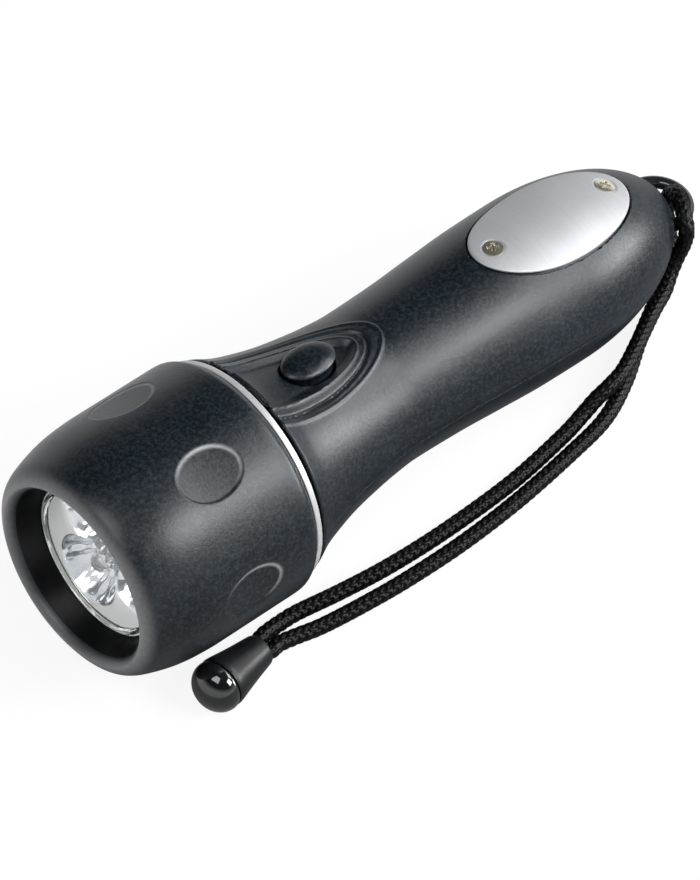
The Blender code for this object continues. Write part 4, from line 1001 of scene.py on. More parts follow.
@dataclass
class Head:
    """The wide front casing with its funnel and sunk pads, and the lens, reflector and LEDs in it.

    Outlines are corners with a station, a radius and a softness each.
    """

    roll: tuple[tuple[float, float], ...] = (
        (3.5, 19.45), (2.5, 19.85), (1.75, 20.4), (1.32, 20.95), (1.42, 21.35), (1.71, 21.9), (2.26, 22.8),
        (2.97, 23.52), (3.9, 24.1), (5.0, 24.6), (7.0, 25.25), (9.0, 25.82), (12.0, 26.48), (16.0, 26.97),
        (21.0, 27.2), (34.0, 27.2), (42.4, 27.2),
    )
    back_outline: tuple[Corner, ...] = (
        (43.45, 27.1, 1.2), (44.7, 25.9, 0.5), (44.7, 23.75, 0.15), (31.0, 23.75, 0), (31.0, 20.2, 0),
        (8.95, 20.2, 0), (8.95, 17.6, 0.12), (8.1, 17.72, 0.2),
    )
    radius: float = 27.2
    roll_length: float = 8.0
    roll_step: float = 0.25
    plain_step: float = 0.9
    flank_knot: int = 13
    flank_gap: float = 2.0
    pad_rows: tuple[float, float] = (17.2, 0.215)
    row_gap: float = 0.2
    skin_radius: float = 24.0
    skin_span: tuple[float, float] = (3.0, 43.0)
    funnel_radius: float = 19.6
    funnel_end: float = 8.9
    pad_count: int = 6
    pad_columns: tuple[float, int, int] = (6.5, 54, 12)
    pad: Oval = Oval(26.6, 7.65, 5.75)
    pad_drop: float = 0.24
    pad_dish: float = 0.46
    pad_edge: float = 0.62
    pad_turn: float = -0.042
    # Width, slant, base strength and rise of the painted highlight along each pad's edge.
    highlight_width: float = 0.34
    highlight_slant: float = 0.75
    highlight_start: float = 0.30
    highlight_rise: float = 0.8
    cup_radius: float = 8.4
    cup_distance: float = 8.9
    cup_depth: float = 7.88
    cup_floor: float = 7.0
    flute_count: int = 13
    flute_height: float = 0.26
    flute_span: float = 6.0
    flute_start: float = 0.6
    flute_fade: float = 1.4
    wave_height: float = 0.15
    wave_length: float = 2.4
    face_station: float = 10.85
    face_rings: tuple[float, float, int] = (0.15, 17.4, 132)
    face_rim_rings: tuple[float, float, int] = (17.5, 19.6, 8)
    reflector_sides: int = 360
    reflector_outline: tuple[Corner, ...] = (
        (10.85, 19.85, 0.2), (19.85, 19.85, 0.1), (19.85, 18.4, 0), (18.65, 18.4, 0), (18.65, 9.0, 0),
        (18.65, 0.0, 0),
    )
    lens_outline: tuple[Corner, ...] = (
        (8.62, 0.0, 0), (8.62, 15.7, 0.3), (8.05, 16.2, 0.3), (7.95, 16.9, 0.3), (8.3, 17.42, 0.3),
        (9.25, 17.42, 0.1), (9.25, 18.6, 0.15), (10.5, 18.6, 0.15), (10.5, 17.4, 0.2), (10.3, 16.9, 0.3),
        (10.3, 0.0, 0),
    )
    led_radius: float = 2.5
    led_tip: float = 12.25
    led_foot: tuple[tuple[float, float], ...] = ((18.9, 2.5), (18.95, 2.85), (19.8, 2.85), (19.8, 0.0))
    holder_outline: tuple[Corner, ...] = (
        (15.9, 0.0, 0), (15.9, 0.55, 0.05), (15.3, 1.15, 0.08), (15.2, 1.35, 0.06), (17.0, 1.25, 0.1),
        (18.6, 0.5, 0.2), (18.6, 0.0, 0),
    )
    chip_outline: tuple[Corner, ...] = (
        (15.45, 0.0, 0), (15.5, 0.5, 0.1), (15.8, 0.52, 0.05), (15.8, 0.0, 0)
    )

    def casing_profile(self) -> Array:
        """The casing's section, from the funnel's lip over the rolled rim to the rear and back inside.

        The roll's stations and radii are each a smooth curve of the length gone along its knots.
        """
        knots = np.array(self.roll)
        gone = np.concatenate([[0.0], np.cumsum(np.hypot(*np.diff(knots, axis=0).T))])
        flank = gone[self.flank_knot] + self.flank_gap
        length, step = self.pad_rows
        at = np.concatenate([
            np.arange(0.0, self.roll_length, self.roll_step),
            np.arange(self.roll_length, flank, self.plain_step),
            np.arange(flank, flank + length, step),
            np.arange(flank + length + self.row_gap, gone[-1], self.plain_step),
        ])
        stations, radii = (flow_through(gone, knots[:, part], at) for part in (0, 1))
        corners = [(station, radius, 0.0) for station, radius in zip(stations, radii)]
        return ease_corners([*corners, *self.back_outline], 2.0)

    def build_casing(self) -> None:
        """Turns the casing, with its columns closest at the pads, and sinks six oval pads in it.

        Inside a smooth step at its edge, a pad lies under the skin by its drop plus its dish times
        (1 - share^2), which makes it nearly flat across. A painted highlight makes its rear edge paler.
        """
        profile = self.casing_profile()
        before, after = np.roll(profile, 1, axis=0), np.roll(profile, -1, axis=0)
        run = after - before
        normal = np.stack([-run[:, 1], run[:, 0]], axis=-1)
        normal /= np.linalg.norm(normal, axis=1, keepdims=True)
        reach, close, wide = self.pad_columns
        reach /= self.radius
        pace = TURN / self.pad_count
        round_pad = np.concatenate([
            np.linspace(-reach, reach, close, endpoint=False),
            np.linspace(reach, pace - reach, wide, endpoint=False),
        ])
        turn = np.tile((round_pad + pace / 2) % pace - pace / 2, self.pad_count)
        angle = (pace * np.arange(self.pad_count)[:, None] + round_pad).ravel() + self.pad_turn
        front, rear = self.skin_span
        outside = (profile[:, 1] > self.skin_radius) & (profile[:, 0] > front) & (profile[:, 0] < rear)
        u, across = profile[:, :1], self.radius * turn[None, :]
        mask = step_up(self.pad.inside(u, across) / self.pad_edge) * outside[:, None]
        hollow = np.clip(1 - np.square(self.pad.share(u, across)), 0, 1)
        rise = -mask * (self.pad_drop + self.pad_dish * hollow)
        # Painted highlight along the pads' edges, stronger towards their rear, kept as a mark for the
        # paint.
        slant = (u - self.pad.middle) / self.pad.half_length - across / self.pad.half_width
        rearward = self.highlight_slant * slant
        edge = ridge((self.pad.inside(u, across) - 0.5 * self.pad_edge) / self.highlight_width) * outside[:, None]
        marks = {"rubbed": (edge * np.clip(self.highlight_start + self.highlight_rise * rearward, 0, 1)).ravel()}
        sunk = profile[:, None, :] + normal[:, None, :] * rise[..., None]
        points = AXIS.turned(sunk[..., 0], sunk[..., 1], angle[None, :])
        faces = [lattice(len(profile), len(angle), True, True)]
        casing = write_mesh("head_casing", points, faces, marks=marks)
        fit(casing, Paint.HEAD.mixed(), "head", "soft_black_head", "head_shell")
        casing.data.materials.append(Paint.FUNNEL.mixed())
        in_funnel = (profile[:, 1] < self.funnel_radius) & (profile[:, 0] < self.funnel_end)
        funnel_rows = in_funnel & np.roll(in_funnel, -1)
        places = np.repeat(funnel_rows, len(angle)).astype(np.int32)
        casing.data.polygons.foreach_set("material_index", places)

    def cup_middles(self) -> list[tuple[float, float]]:
        """Across and up positions of the three cups, at a sixth, a half and five sixths of a turn."""
        turns = (TURN / 6, TURN / 2, TURN * 5 / 6)
        return [(self.cup_distance * math.cos(turn), self.cup_distance * math.sin(turn)) for turn in turns]

    def flutes(self, y: Array, z: Array) -> Array:
        """How far the nearest cup's facets stand in or out.

        A cosine of the turn about the cup's middle, growing with the distance from it, plus a cosine of
        that distance.
        """
        offsets = np.stack([(y - middle_y, z - middle_z) for middle_y, middle_z in self.cup_middles()])
        spans = np.hypot(offsets[:, 0], offsets[:, 1])
        turns = np.arctan2(offsets[:, 1], offsets[:, 0])
        nearest = spans.argmin(axis=0)[None]
        span = np.take_along_axis(spans, nearest, axis=0)[0]
        turn = np.take_along_axis(turns, nearest, axis=0)[0]
        flute = self.flute_height * np.cos(self.flute_count * turn) * span / self.flute_span
        return flute + self.wave_height * np.cos(TURN * span / self.wave_length)

    def build_reflector(self) -> None:
        """Turns the reflector's disc and sinks three cups into its face.

        A cup is depth times (1 - (distance / radius)^2), a paraboloid cut off by its flat floor, and
        the face takes the deepest of the three at each point.
        """
        radii = np.concatenate([[0.0], np.linspace(*self.face_rings), np.linspace(*self.face_rim_rings)])
        face = [(self.face_station, radius, 0) for radius in radii]
        profile = ease_corners([*face, *self.reflector_outline], 3.0, closed=False)
        depth_marks = []

        def sunk(station: Array, radius: Array, angle: Array) -> Array:
            """Places a point of the face, sunk by the cups."""
            station, radius, angle = np.broadcast_arrays(station, radius, angle)
            y, z = radius * np.cos(angle), radius * np.sin(angle)
            depth = np.zeros_like(y)
            for middle_y, middle_z in self.cup_middles():
                reach = np.square(y - middle_y) + np.square(z - middle_z)
                depth = np.maximum(depth, self.cup_depth * (1 - reach / self.cup_radius**2))
            depth = np.where(station < self.face_station + 0.01, np.minimum(depth, self.cup_floor), 0)
            depth = depth + self.flutes(y, z) * step_up(depth / self.flute_fade - self.flute_start)
            depth_marks.append(np.where(depth > 0.05, 0.0, 1.0).ravel())
            return AXIS.place(station + depth, y, z)

        sides, rows = self.reflector_sides, len(profile) - 2
        angle = TURN * np.arange(sides) / sides
        rings = sunk(profile[1:-1, :1], profile[1:-1, 1:], angle[None, :]).reshape(-1, 3)
        ends = sunk(profile[[0, -1], 0], np.zeros(2), np.zeros(2))
        marks = {"matt": np.concatenate(depth_marks)}
        points = np.concatenate([rings, ends])
        faces = [lattice(rows, sides, False, True), *end_fans(rows, sides)]
        reflector = write_mesh("cup_reflector", points, faces, 30.0, marks)
        fit(reflector, Paint.CUPS.mixed(), "head", "reflector_chrome", "reflector")

    def build_lens(self) -> None:
        """Turns the clear lens: a disc with a raised bead round its edge, and the flange behind."""
        lens = turn_solid("lens_disc", ease_corners(self.lens_outline, 1.5, closed=False), 240)
        fit(lens, Paint.LENS.mixed(), "head", "clear_lens", "lens")
        lens.visible_shadow = False

    def build_leds(self) -> None:
        """Turns three clear domes, each over a small metal cup with its phosphor."""
        round_off = np.linspace(0, math.pi / 2, 18)
        stations = self.led_tip + self.led_radius - self.led_radius * np.cos(round_off)
        radii = self.led_radius * np.sin(round_off)
        resin = np.vstack([np.stack([stations, radii], axis=-1), self.led_foot])
        resin[0, 1] = 0.0
        holder = ease_corners(self.holder_outline, 0.4, closed=False)
        chip = ease_corners(self.chip_outline, 0.2, closed=False)
        for number, middle in enumerate(self.cup_middles(), 1):
            def aside(u: Array, radius: Array, angle: Array, aim: tuple[float, float] = middle) -> Array:
                """Circles round this LED's own axis."""
                return AXIS.place(u, aim[0] + radius * np.cos(angle), aim[1] + radius * np.sin(angle))

            piece = turn_solid(f"led_dome_{number}", resin, 64, aside)
            fit(piece, Paint.RESIN.mixed(), "head", "led_resin", f"led_{number}")
            cup = turn_solid(f"led_holder_{number}", holder, 48, aside)
            fit(cup, Paint.STEEL.mixed(), "head", "led_resin")
            phosphor = turn_solid(f"led_phosphor_{number}", chip, 32, aside)
            fit(phosphor, Paint.PHOSPHOR.mixed(), "head", "led_resin")

    def build(self) -> None:
        """Makes the whole head."""
        self.build_casing()
        self.build_reflector()
        self.build_lens()
        self.build_leds()


@dataclass
class Neck:
    """The silver trim ring, and the threaded collar that the head screws on."""

    ring_front: float = 45.0
    ring_back: float = 46.4
    ring_radius: float = 25.7
    ring_bore: float = 23.75
    collar_outline: tuple[Corner, ...] = (
        (33.5, 21.35, 0.2), (33.5, 23.35, 0.4), (46.0, 23.35, 0.0), (47.3, 23.35, 0.1), (47.3, 21.7, 0),
        (50.1, 21.7, 0.2), (50.1, 15.5, 0.2), (33.5, 15.5, 0.2), (33.5, 17.5, 0.2), (45.1, 17.5, 0),
        (45.1, 21.35, 0),
    )
    collar_step: float = 0.26
    collar_sides: int = 240
    thread_pitch: float = 3.0
    thread_depth: float = 0.75
    thread_bluntness: float = 0.9
    thread_radius: float = 23.0
    thread_span: tuple[float, float] = (34.6, 44.6)
    thread_fade: float = 1.2

    def build_ring(self) -> None:
        """Turns the trim ring with eased edges."""
        corners = [
            (self.ring_front, self.ring_bore, 0.1), (self.ring_front, self.ring_radius, 0.3),
            (self.ring_back, self.ring_radius, 0.3), (self.ring_back, self.ring_bore, 0.1),
        ]
        ring = turn_ring("silver_ring", ease_corners(corners, 0.3), 360)
        fit(ring, Paint.TRIM.mixed(), "head_carrier", "trim_silver", "trim_ring")

    def build_collar(self) -> None:
        """Turns the collar and winds a thread on it.

        The thread's height is one half plus a cosine of the turns along less the turns round, cut off
        at nought and one for flat crests and roots, and fades in and out at the thread's ends.
        """
        profile = ease_corners(self.collar_outline, self.collar_step)
        angle = TURN * np.arange(self.collar_sides) / self.collar_sides
        u, radius = profile[:, :1], profile[:, 1:]
        phase = u / self.thread_pitch - angle[None, :] / TURN
        height = np.clip(0.5 + self.thread_bluntness * np.cos(TURN * phase), 0, 1)
        front, back = self.thread_span
        ends = step_up((u - front) / self.thread_fade) * step_up((back - u) / self.thread_fade)
        zone = ends * (radius > self.thread_radius)
        points = AXIS.turned(u, radius - self.thread_depth * zone * (1 - height), angle[None, :])
        faces = [lattice(len(profile), self.collar_sides, True, True)]
        collar = write_mesh("threaded_collar", points, faces, 50.0)
        fit(collar, Paint.COLLAR.mixed(), "grip", "collar_plastic", "neck_collar")

    def build(self) -> None:
        """Makes the ring and the collar."""
        self.build_ring()
        self.build_collar()


class Side(Enum):
    """The two grip shells, by which way they face and how far past the mid plane they reach."""

    UPPER = (1.0, 0.85)
    LOWER = (-1.0, -0.90)


@dataclass
class Grip:
    """The two shells of the grip, with the arch relief, the button's pocket and the plate's bed."""

    stations: tuple[float, ...] = (48.0, 52.15, 57.4, 63.35, 69.3, 75.6, 82.6, 94.4, 106.2, 118.0, 129.8)
    radii: tuple[float, ...] = (
        25.0, 23.0125, 21.325, 19.825, 18.8125, 17.9875, 17.5, 17.755, 18.435, 19.064, 19.2
    )
    slope_step: float = 0.05
    neck: float = 47.6
    lip: float = 0.4
    tail_middle: float = 129.8
    tail_reach: float = 35.6
    tail_radius: float = 19.2
    wall: float = 2.0
    bore: float = 15.5
    mouth_end: float = 50.4
    mouth_bore: float = 22.0
    lower_tip: float = 1.35
    top_turn: float = 1.2
    seam_depth: float = 0.16
    seam_width: float = 0.24
    arch_outer: Oval = Oval(50.0, 33.4, 11.2)
    arch_groove: Oval = Oval(50.0, 29.8, 9.8)
    arch_inner: Oval = Oval(50.0, 27.0, 7.4)
    button_hole: Oval = Oval(64.5, 6.75, 5.0)
    plate_bed: Oval = Oval(132.0, 21.2, 11.66)
    hole_band: float = 0.034
    bed_band: float = 0.012
    bed_depth: float = 0.7
    bead_height: float = 0.24
    bead_width: float = 0.36
    groove_depth: float = 0.60
    groove_width: float = 0.34
    dish_depth: float = 1.15
    dish_start: float = 1.0
    dish_fade: float = 2.2
    pocket_floor: float = 13.3
    pocket_skin: float = 0.16
    pocket_margin: float = 2.6
    pocket_fade: float = 1.5
    lip_rows: tuple[float, ...] = (47.6, 47.62, 47.67, 47.75, 47.86, 47.98)
    body_rows: tuple[tuple[float, float, float], ...] = (
        (48.12, 84.5, 0.2), (84.6, 110.0, 0.6), (110.2, 154.0, 0.44)
    )
    tail_rows: tuple[float, float, int] = (24.4, 1.497, 34)
    flank_share: float = 0.49
    edge_share: float = 0.93
    edge_columns: tuple[float, ...] = (1.9, 1.5, 1.1, 0.75, 0.48, 0.28, 0.13, 0.04, 0.0)
    section_length: float = 30.0

    def radius(self, u: Array) -> Array:
        """Outer radius at a station.

        A smooth curve through the flare, the waist and the swell, then an ellipse to the tail, less a
        rounded lip where the neck begins.
        """
        u = np.asarray(u, float)
        body = flow_through(self.stations, self.radii, u, 0.0)
        reach = np.clip((u - self.tail_middle) / self.tail_reach, 0, 1)
        tail = self.tail_radius * np.sqrt(1 - reach**2)
        outer = np.where(u > self.tail_middle, tail, body)
        edge = np.clip((self.neck + self.lip - u) / self.lip, 0, 1)
        return outer - self.lip * (1 - np.sqrt(1 - edge**2))

    def slope(self, u: Array) -> tuple[Array, Array]:
        """Slope of the profile at a station, and the cosine of its angle."""
        step = self.slope_step
        slope = (self.radius(u + step) - self.radius(u - step)) / (2 * step)
        return slope, 1 / np.sqrt(1 + slope**2)

    def skin(self, u: Array, y: Array, height: Array) -> Array:
        """Points that stand a height off the skin, above the place (u, y), square to the profile."""
        slope, lean = self.slope(u)
        radius = self.radius(u)
        turn = np.arcsin(np.clip(y / radius, -1, 1))
        lifted = radius + height * lean
        return AXIS.place(u - height * slope * lean, lifted * np.sin(turn), lifted * np.cos(turn))

    def relief(self, u: Array, y: Array) -> Array:
        """Height of the arch relief and the plate's bed over the plain skin.

        The arch is a raised bead, a lowered band with a groove in it, a lower bead and a scooped
        floor, each a bell or a smooth step of the distance inside its oval. Ahead of the oval's middle
        its sides run straight on to the neck.
        """
        ahead = np.maximum(u, self.arch_outer.middle)
        outer = self.arch_outer.inside(ahead, y)
        groove = self.arch_groove.inside(ahead, y)
        inner = self.arch_inner.inside(ahead, y)
        beads = ridge(outer / self.bead_width) + ridge(inner / self.bead_width)
        height = self.bead_height * beads - self.groove_depth * ridge(groove / self.groove_width)
        height -= self.dish_depth * step_up((inner - self.dish_start) / self.dish_fade)
        bed = self.plate_bed.share(u, y) < 1
        return np.where(bed, -self.bed_depth, height)

    def rows(self) -> Array:
        """Stations of the grid's rows, closest together where the relief is."""
        first, last_turn, count = self.tail_rows
        turns = np.linspace(math.asin(first / self.tail_reach), last_turn, count)
        tail = self.tail_middle + self.tail_reach * np.sin(turns)
        return np.concatenate([self.lip_rows, *(np.arange(*span) for span in self.body_rows), tail])

    def columns(self, fine: bool) -> Array:
        """Places round the section from one seam to the other, as shares of the angle from the top."""
        top = np.linspace(0, self.flank_share, 68 if fine else 20)
        flank = np.linspace(self.flank_share, self.edge_share, 26)[1:]
        edge = 1 - np.array(self.edge_columns) / self.section_length
        half = np.concatenate([top, flank, edge])
        return np.concatenate([-half[:0:-1], half])

    def build_shell(self, name: str, side: Side, finish: Paint, slot: str, node: str) -> None:
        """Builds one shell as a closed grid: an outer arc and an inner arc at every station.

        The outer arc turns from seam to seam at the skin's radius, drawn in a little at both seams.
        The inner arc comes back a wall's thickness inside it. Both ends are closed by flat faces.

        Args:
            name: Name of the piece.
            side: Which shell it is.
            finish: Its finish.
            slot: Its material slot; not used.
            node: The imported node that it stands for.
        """
        flip, drop = side.value
        upper = side is Side.UPPER
        u = self.rows()
        if not upper:
            u = u[self.radius(u) > self.lower_tip]
        u = u[:, None]
        radius = self.radius(u)
        reach = math.pi / 2 + np.arcsin(np.clip(drop / radius, -1, 1))
        share = self.columns(upper)[None, :]
        turn = share * reach
        outer_u, y = np.broadcast_arrays(u, radius * np.sin(turn))
        outer_u, y = outer_u.copy(), y.copy()
        from_seam = radius * reach * (1 - np.abs(share))
        height = -self.seam_depth * ridge(from_seam / self.seam_width) * np.ones_like(y)
        top_side = np.abs(turn) < self.top_turn
        if upper:
            for oval, band in ((self.button_hole, self.hole_band), (self.plate_bed, self.bed_band)):
                moved_u, moved_y = oval.snap(outer_u, y, band)
                outer_u = np.where(top_side, moved_u, outer_u)
                y = np.where(top_side, moved_y, y)
            height = height + np.where(top_side, self.relief(outer_u, y), 0)
        flat_turn = np.where(top_side, np.arcsin(np.clip(y / self.radius(outer_u), -1, 1)), turn)
        slope, lean = self.slope(outer_u)
        lifted = self.radius(outer_u) + height * lean
        shifted = np.where(np.abs(height) > 1e-3, outer_u - height * slope * lean, outer_u)
        place_u, place_y, place_z = shifted, lifted * np.sin(flat_turn), lifted * np.cos(flat_turn)
        if upper:
            hole = (self.button_hole.share(outer_u, y) < 1) & top_side
            place_u, place_y = np.where(hole, outer_u, place_u), np.where(hole, y, place_y)
            place_z = np.where(hole, self.pocket_floor, place_z)
        outer = AXIS.place(place_u, place_y, flip * place_z)

        in_tail = u > self.tail_middle
        shrink = (self.tail_reach - self.wall) / self.tail_reach
        inner_u = np.where(in_tail, self.tail_middle + (u - self.tail_middle) * shrink, u)
        tail_depth = radius * (self.tail_radius - self.wall) / self.tail_radius
        depth = np.where(in_tail, tail_depth, np.maximum(self.bore, radius - self.wall))
        depth = np.where(u < self.mouth_end, self.mouth_bore, depth)
        depth = np.maximum(depth, abs(drop) * 1.05)
        inner_reach = math.pi / 2 + np.arcsin(np.clip(drop / depth, -1, 1))
        back = np.linspace(1, -1, 40)[None, :]
        inner_turn = back * inner_reach
        if upper:
            under = self.button_hole.inside(inner_u, depth * np.sin(inner_turn))
            lowered = step_up((under + self.pocket_margin) / self.pocket_fade)
            depth = depth - (depth - self.pocket_floor + self.pocket_skin) * lowered
        inner = AXIS.place(inner_u, depth * np.sin(inner_turn), flip * depth * np.cos(inner_turn))

        points = np.concatenate([outer, inner], axis=1)
        count, rows, columns = share.size, *points.shape[:2]
        last = (rows - 1) * columns
        loop = np.arange(columns)
        caps = [
            loop[None, :],
            last + loop[None, :count][:, ::-1],
            last + loop[None, count:][:, ::-1],
            last + np.array([[count - 1, count, columns - 1, 0]])[:, ::-1],
        ]
        shell = write_mesh(name, points, [lattice(rows, columns, False, True), *caps], 40.0)
        fit(shell, finish.mixed(), "grip", slot, node)

    def build(self) -> None:
        """Makes both shells."""
        self.build_shell("top_shell", Side.UPPER, Paint.GRIP, "soft_black_grip", "upper_shell")
        self.build_shell("bottom_shell", Side.LOWER, Paint.LOWER, "soft_black_lower", "lower_shell")


@dataclass
class PushButton:
    """The oval push button, a shallow dome over a straight skirt."""

    middle: float = 64.4
    half_length: float = 6.5
    half_width: float = 4.42
    bottom: float = 17.3
    edge: float = 20.55
    top: float = 22.1
    shoulder_power: float = 2.4
    dome_power: float = 0.62
    skirt: tuple[tuple[float, float], ...] = ((0.15, 0.99), (0.5, 0.93), (1.2, 0.90))
    foot: tuple[tuple[float, float], ...] = ((0.1, 0.90), (0.0, 0.91), (0.0, 0.5), (0.0, 0.0))

    def on_button(self, height: Array, share: Array, angle: Array) -> Array:
        """Ovals round the button's upright axis, by height and share of the half axes."""
        u = self.middle + self.half_length * share * np.cos(angle)
        return AXIS.place(u, self.half_width * share * np.sin(angle), height)

    def build(self) -> None:
        """Turns the button.

        Its dome's height is the edge's plus the rise times (1 - share^shoulder power)^dome power.
        """
        share = np.sin(np.linspace(0, math.pi / 2, 48))
        fullness = np.power(np.clip(1 - share**self.shoulder_power, 0, 1), self.dome_power)
        crown = np.stack([self.edge + (self.top - self.edge) * fullness, share], axis=-1)
        skirt = [(self.edge - drop, width) for drop, width in self.skirt]
        foot = [(self.bottom + rise, width) for rise, width in self.foot]
        profile = np.vstack([crown, skirt, foot])
        button = turn_solid("thumb_button", profile, 160, self.on_button)
        fit(button, Paint.BUTTON.mixed(), "button", "button_black", "push_button")


@dataclass
class Badge:
    """The bare oval plate that follows the grip, and its two cross-recess screws."""

    grip: Grip = field(default_factory=Grip)
    outline: Oval = Oval(132.0, 20.75, 11.2)
    proud: float = 0.35
    under: float = -0.40
    bevel: float = 0.45
    bevel_drop: float = 0.3
    plate_sides: int = 320
    screws: tuple[float, float] = (116.0, 148.0)
    twists: tuple[float, float] = (0.62, 0.95)
    screw_radius: float = 2.15
    sink: float = 0.28
    sink_gap: float = 0.28
    sink_fade: float = 0.3
    dome_foot: float = 0.30
    dome_rise: float = 0.22
    dome_power: float = 2.2
    screw_foot: tuple[tuple[float, float], ...] = ((0.18, 2.15), (-0.2, 2.15), (-0.2, 1.0), (-0.2, 0.0))
    cross_half_width: float = 0.29
    cross_reach: float = 1.25
    cross_depth: float = 0.42
    cross_fade: float = 0.16

    def on_plate(self, height: Array, inward: Array, angle: Array) -> Array:
        """Points on ovals over the grip, by height off its skin and share of the plate's half axes."""
        u = self.outline.middle + self.outline.half_length * inward * np.cos(angle)
        y = self.outline.half_width * inward * np.sin(angle)
        height = height + 0 * u
        for station in self.screws:
            distance = np.hypot(u - station, y)
            dimple = self.sink * step_up((self.screw_radius + self.sink_gap - distance) / self.sink_fade)
            height = np.where(height > 0.1, height - dimple, height)
        return self.grip.skin(u, y, height)

    def build_plate(self) -> None:
        """Turns the plate's section, with its bevel a quarter round, over the grip's skin."""
        inner = np.linspace(0, 1 - self.bevel / self.outline.half_width, 84)
        top = np.stack([np.full_like(inner, self.proud), inner], axis=-1)
        quarter = np.linspace(0, math.pi / 2, 9)[1:]
        height = self.proud - self.bevel_drop * (1 - np.cos(quarter))
        ease = np.stack([height, inner[-1] + (1 - inner[-1]) * np.sin(quarter)], axis=-1)
        under = [(self.under, share) for share in (0.995, 0.7, 0.3, 0.0)]
        profile = np.vstack([top, ease, [(-self.bevel_drop / 2, 1.0)], under])
        plate = turn_solid("bare_plate", profile, self.plate_sides, self.on_plate)
        fit(plate, Paint.PLATE.mixed(), "grip", "plate_silver", "oval_plate")

    def build_screws(self) -> None:
        """Turns two domed heads and sinks a cross in each.

        The dome falls with a power of the share of its radius. The cross is two bars; inside a bar the
        head is lower by a smooth step of the distance inside it.
        """
        share = np.linspace(0, 1, 56)
        height = self.dome_foot + self.dome_rise * (1 - share**self.dome_power)
        dome = np.stack([height, self.screw_radius * share], axis=-1)
        profile = np.vstack([dome, self.screw_foot])
        for number, (station, twist) in enumerate(zip(self.screws, self.twists), 1):
            base = float(self.grip.radius(station))
            slope = float(self.grip.radius(station + 0.5) - self.grip.radius(station - 0.5))
            lean = 1 / math.hypot(1, slope)

            def on_screw(height: Array, radius: Array, angle: Array) -> Array:
                """Places a point of this screw's head, with the cross sunk in its dome."""
                height, radius, angle = np.broadcast_arrays(height, radius, angle)
                across, up = radius * np.cos(angle + twist), radius * np.sin(angle + twist)
                half, reach = self.cross_half_width, self.cross_reach
                arm = np.maximum(
                    np.minimum(half - np.abs(across), reach - np.abs(up)),
                    np.minimum(half - np.abs(up), reach - np.abs(across)),
                )
                on_dome = height > self.dome_foot - 0.01
                sunk = height - self.cross_depth * step_up(arm / self.cross_fade) * on_dome
                x, y = radius * np.cos(angle), radius * np.sin(angle)
                return AXIS.place(station + (x - sunk * slope) * lean, y, base + (x * slope + sunk) * lean)

            head = turn_solid(f"nickel_screw_{number}", profile, 144, on_screw)
            fit(head, Paint.SCREW.mixed(), "grip", "screw_nickel", f"plate_screw_{number}")

    def build(self) -> None:
        """Makes the plate and its screws."""
        self.build_plate()
        self.build_screws()


@dataclass
class TailLoop:
    """The round lanyard loop that stands out of the tail."""

    middle: float = 164.3
    radius: float = 6.9
    bar: float = 1.4
    sides: int = 192
    bar_sides: int = 40

    def build(self) -> None:
        """Carries the bar's round section round the loop, in the torch's mid plane."""
        turn = TURN * np.arange(self.sides)[:, None] / self.sides
        section = TURN * np.arange(self.bar_sides)[None, :] / self.bar_sides
        reach = self.radius + self.bar * np.cos(section)
        points = AXIS.place(
            self.middle + reach * np.cos(turn), reach * np.sin(turn), self.bar * np.sin(section) + 0 * turn
        )
        loop = write_mesh("tail_loop", points, [lattice(self.sides, self.bar_sides, True, True)])
        fit(loop, Paint.LOOP.mixed(), "grip", "loop_gloss", "lanyard_loop")


@dataclass
class Insides:
    """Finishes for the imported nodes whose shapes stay."""

    finishes: tuple[tuple[str, Paint], ...] = (
        ("lens_seal", Paint.SEAL), ("led_board", Paint.BOARD), ("board_retainer", Paint.RETAINER),
        ("centre_spring", Paint.STEEL), ("neck_seal", Paint.SEAL), ("cell_tube", Paint.TUBE),
        ("cell_1", Paint.FRONT_CELL), ("cell_2", Paint.BACK_CELL), ("tail_spring", Paint.STEEL),
        ("tail_contact", Paint.BRASS), ("contact_strip", Paint.BRASS), ("switch_body", Paint.SWITCH),
        ("switch_plunger", Paint.NYLON), ("return_spring", Paint.STEEL),
    )

    def build(self) -> None:
        """Dresses each node."""
        for node, paint in self.finishes:
            dress(node, paint.mixed())


# Studio


@dataclass(frozen=True)
class SoftBox:
    """One soft lamp: the way to it from the torch, its distance, its two sides and its power."""

    name: str
    way: tuple[float, float, float]
    distance: float
    sides: tuple[float, float]
    watts: float
    aim: tuple[float, float, float] = (0.0, 0.0, 0.02)

    def build(self) -> None:
        """Hangs the lamp and turns it to its aim."""
        data = bpy.data.lights.new(self.name, "AREA")
        data.shape = "RECTANGLE"
        data.size, data.size_y = self.sides
        data.energy = self.watts
        lamp = bpy.data.objects.new(self.name, data)
        way = Vector(self.way).normalized()
        lamp.location = Vector(self.aim) + way * self.distance
        lamp.rotation_euler = way.to_track_quat("Z", "Y").to_euler()
        lamp.visible_camera = False
        bpy.context.scene.collection.objects.link(lamp)


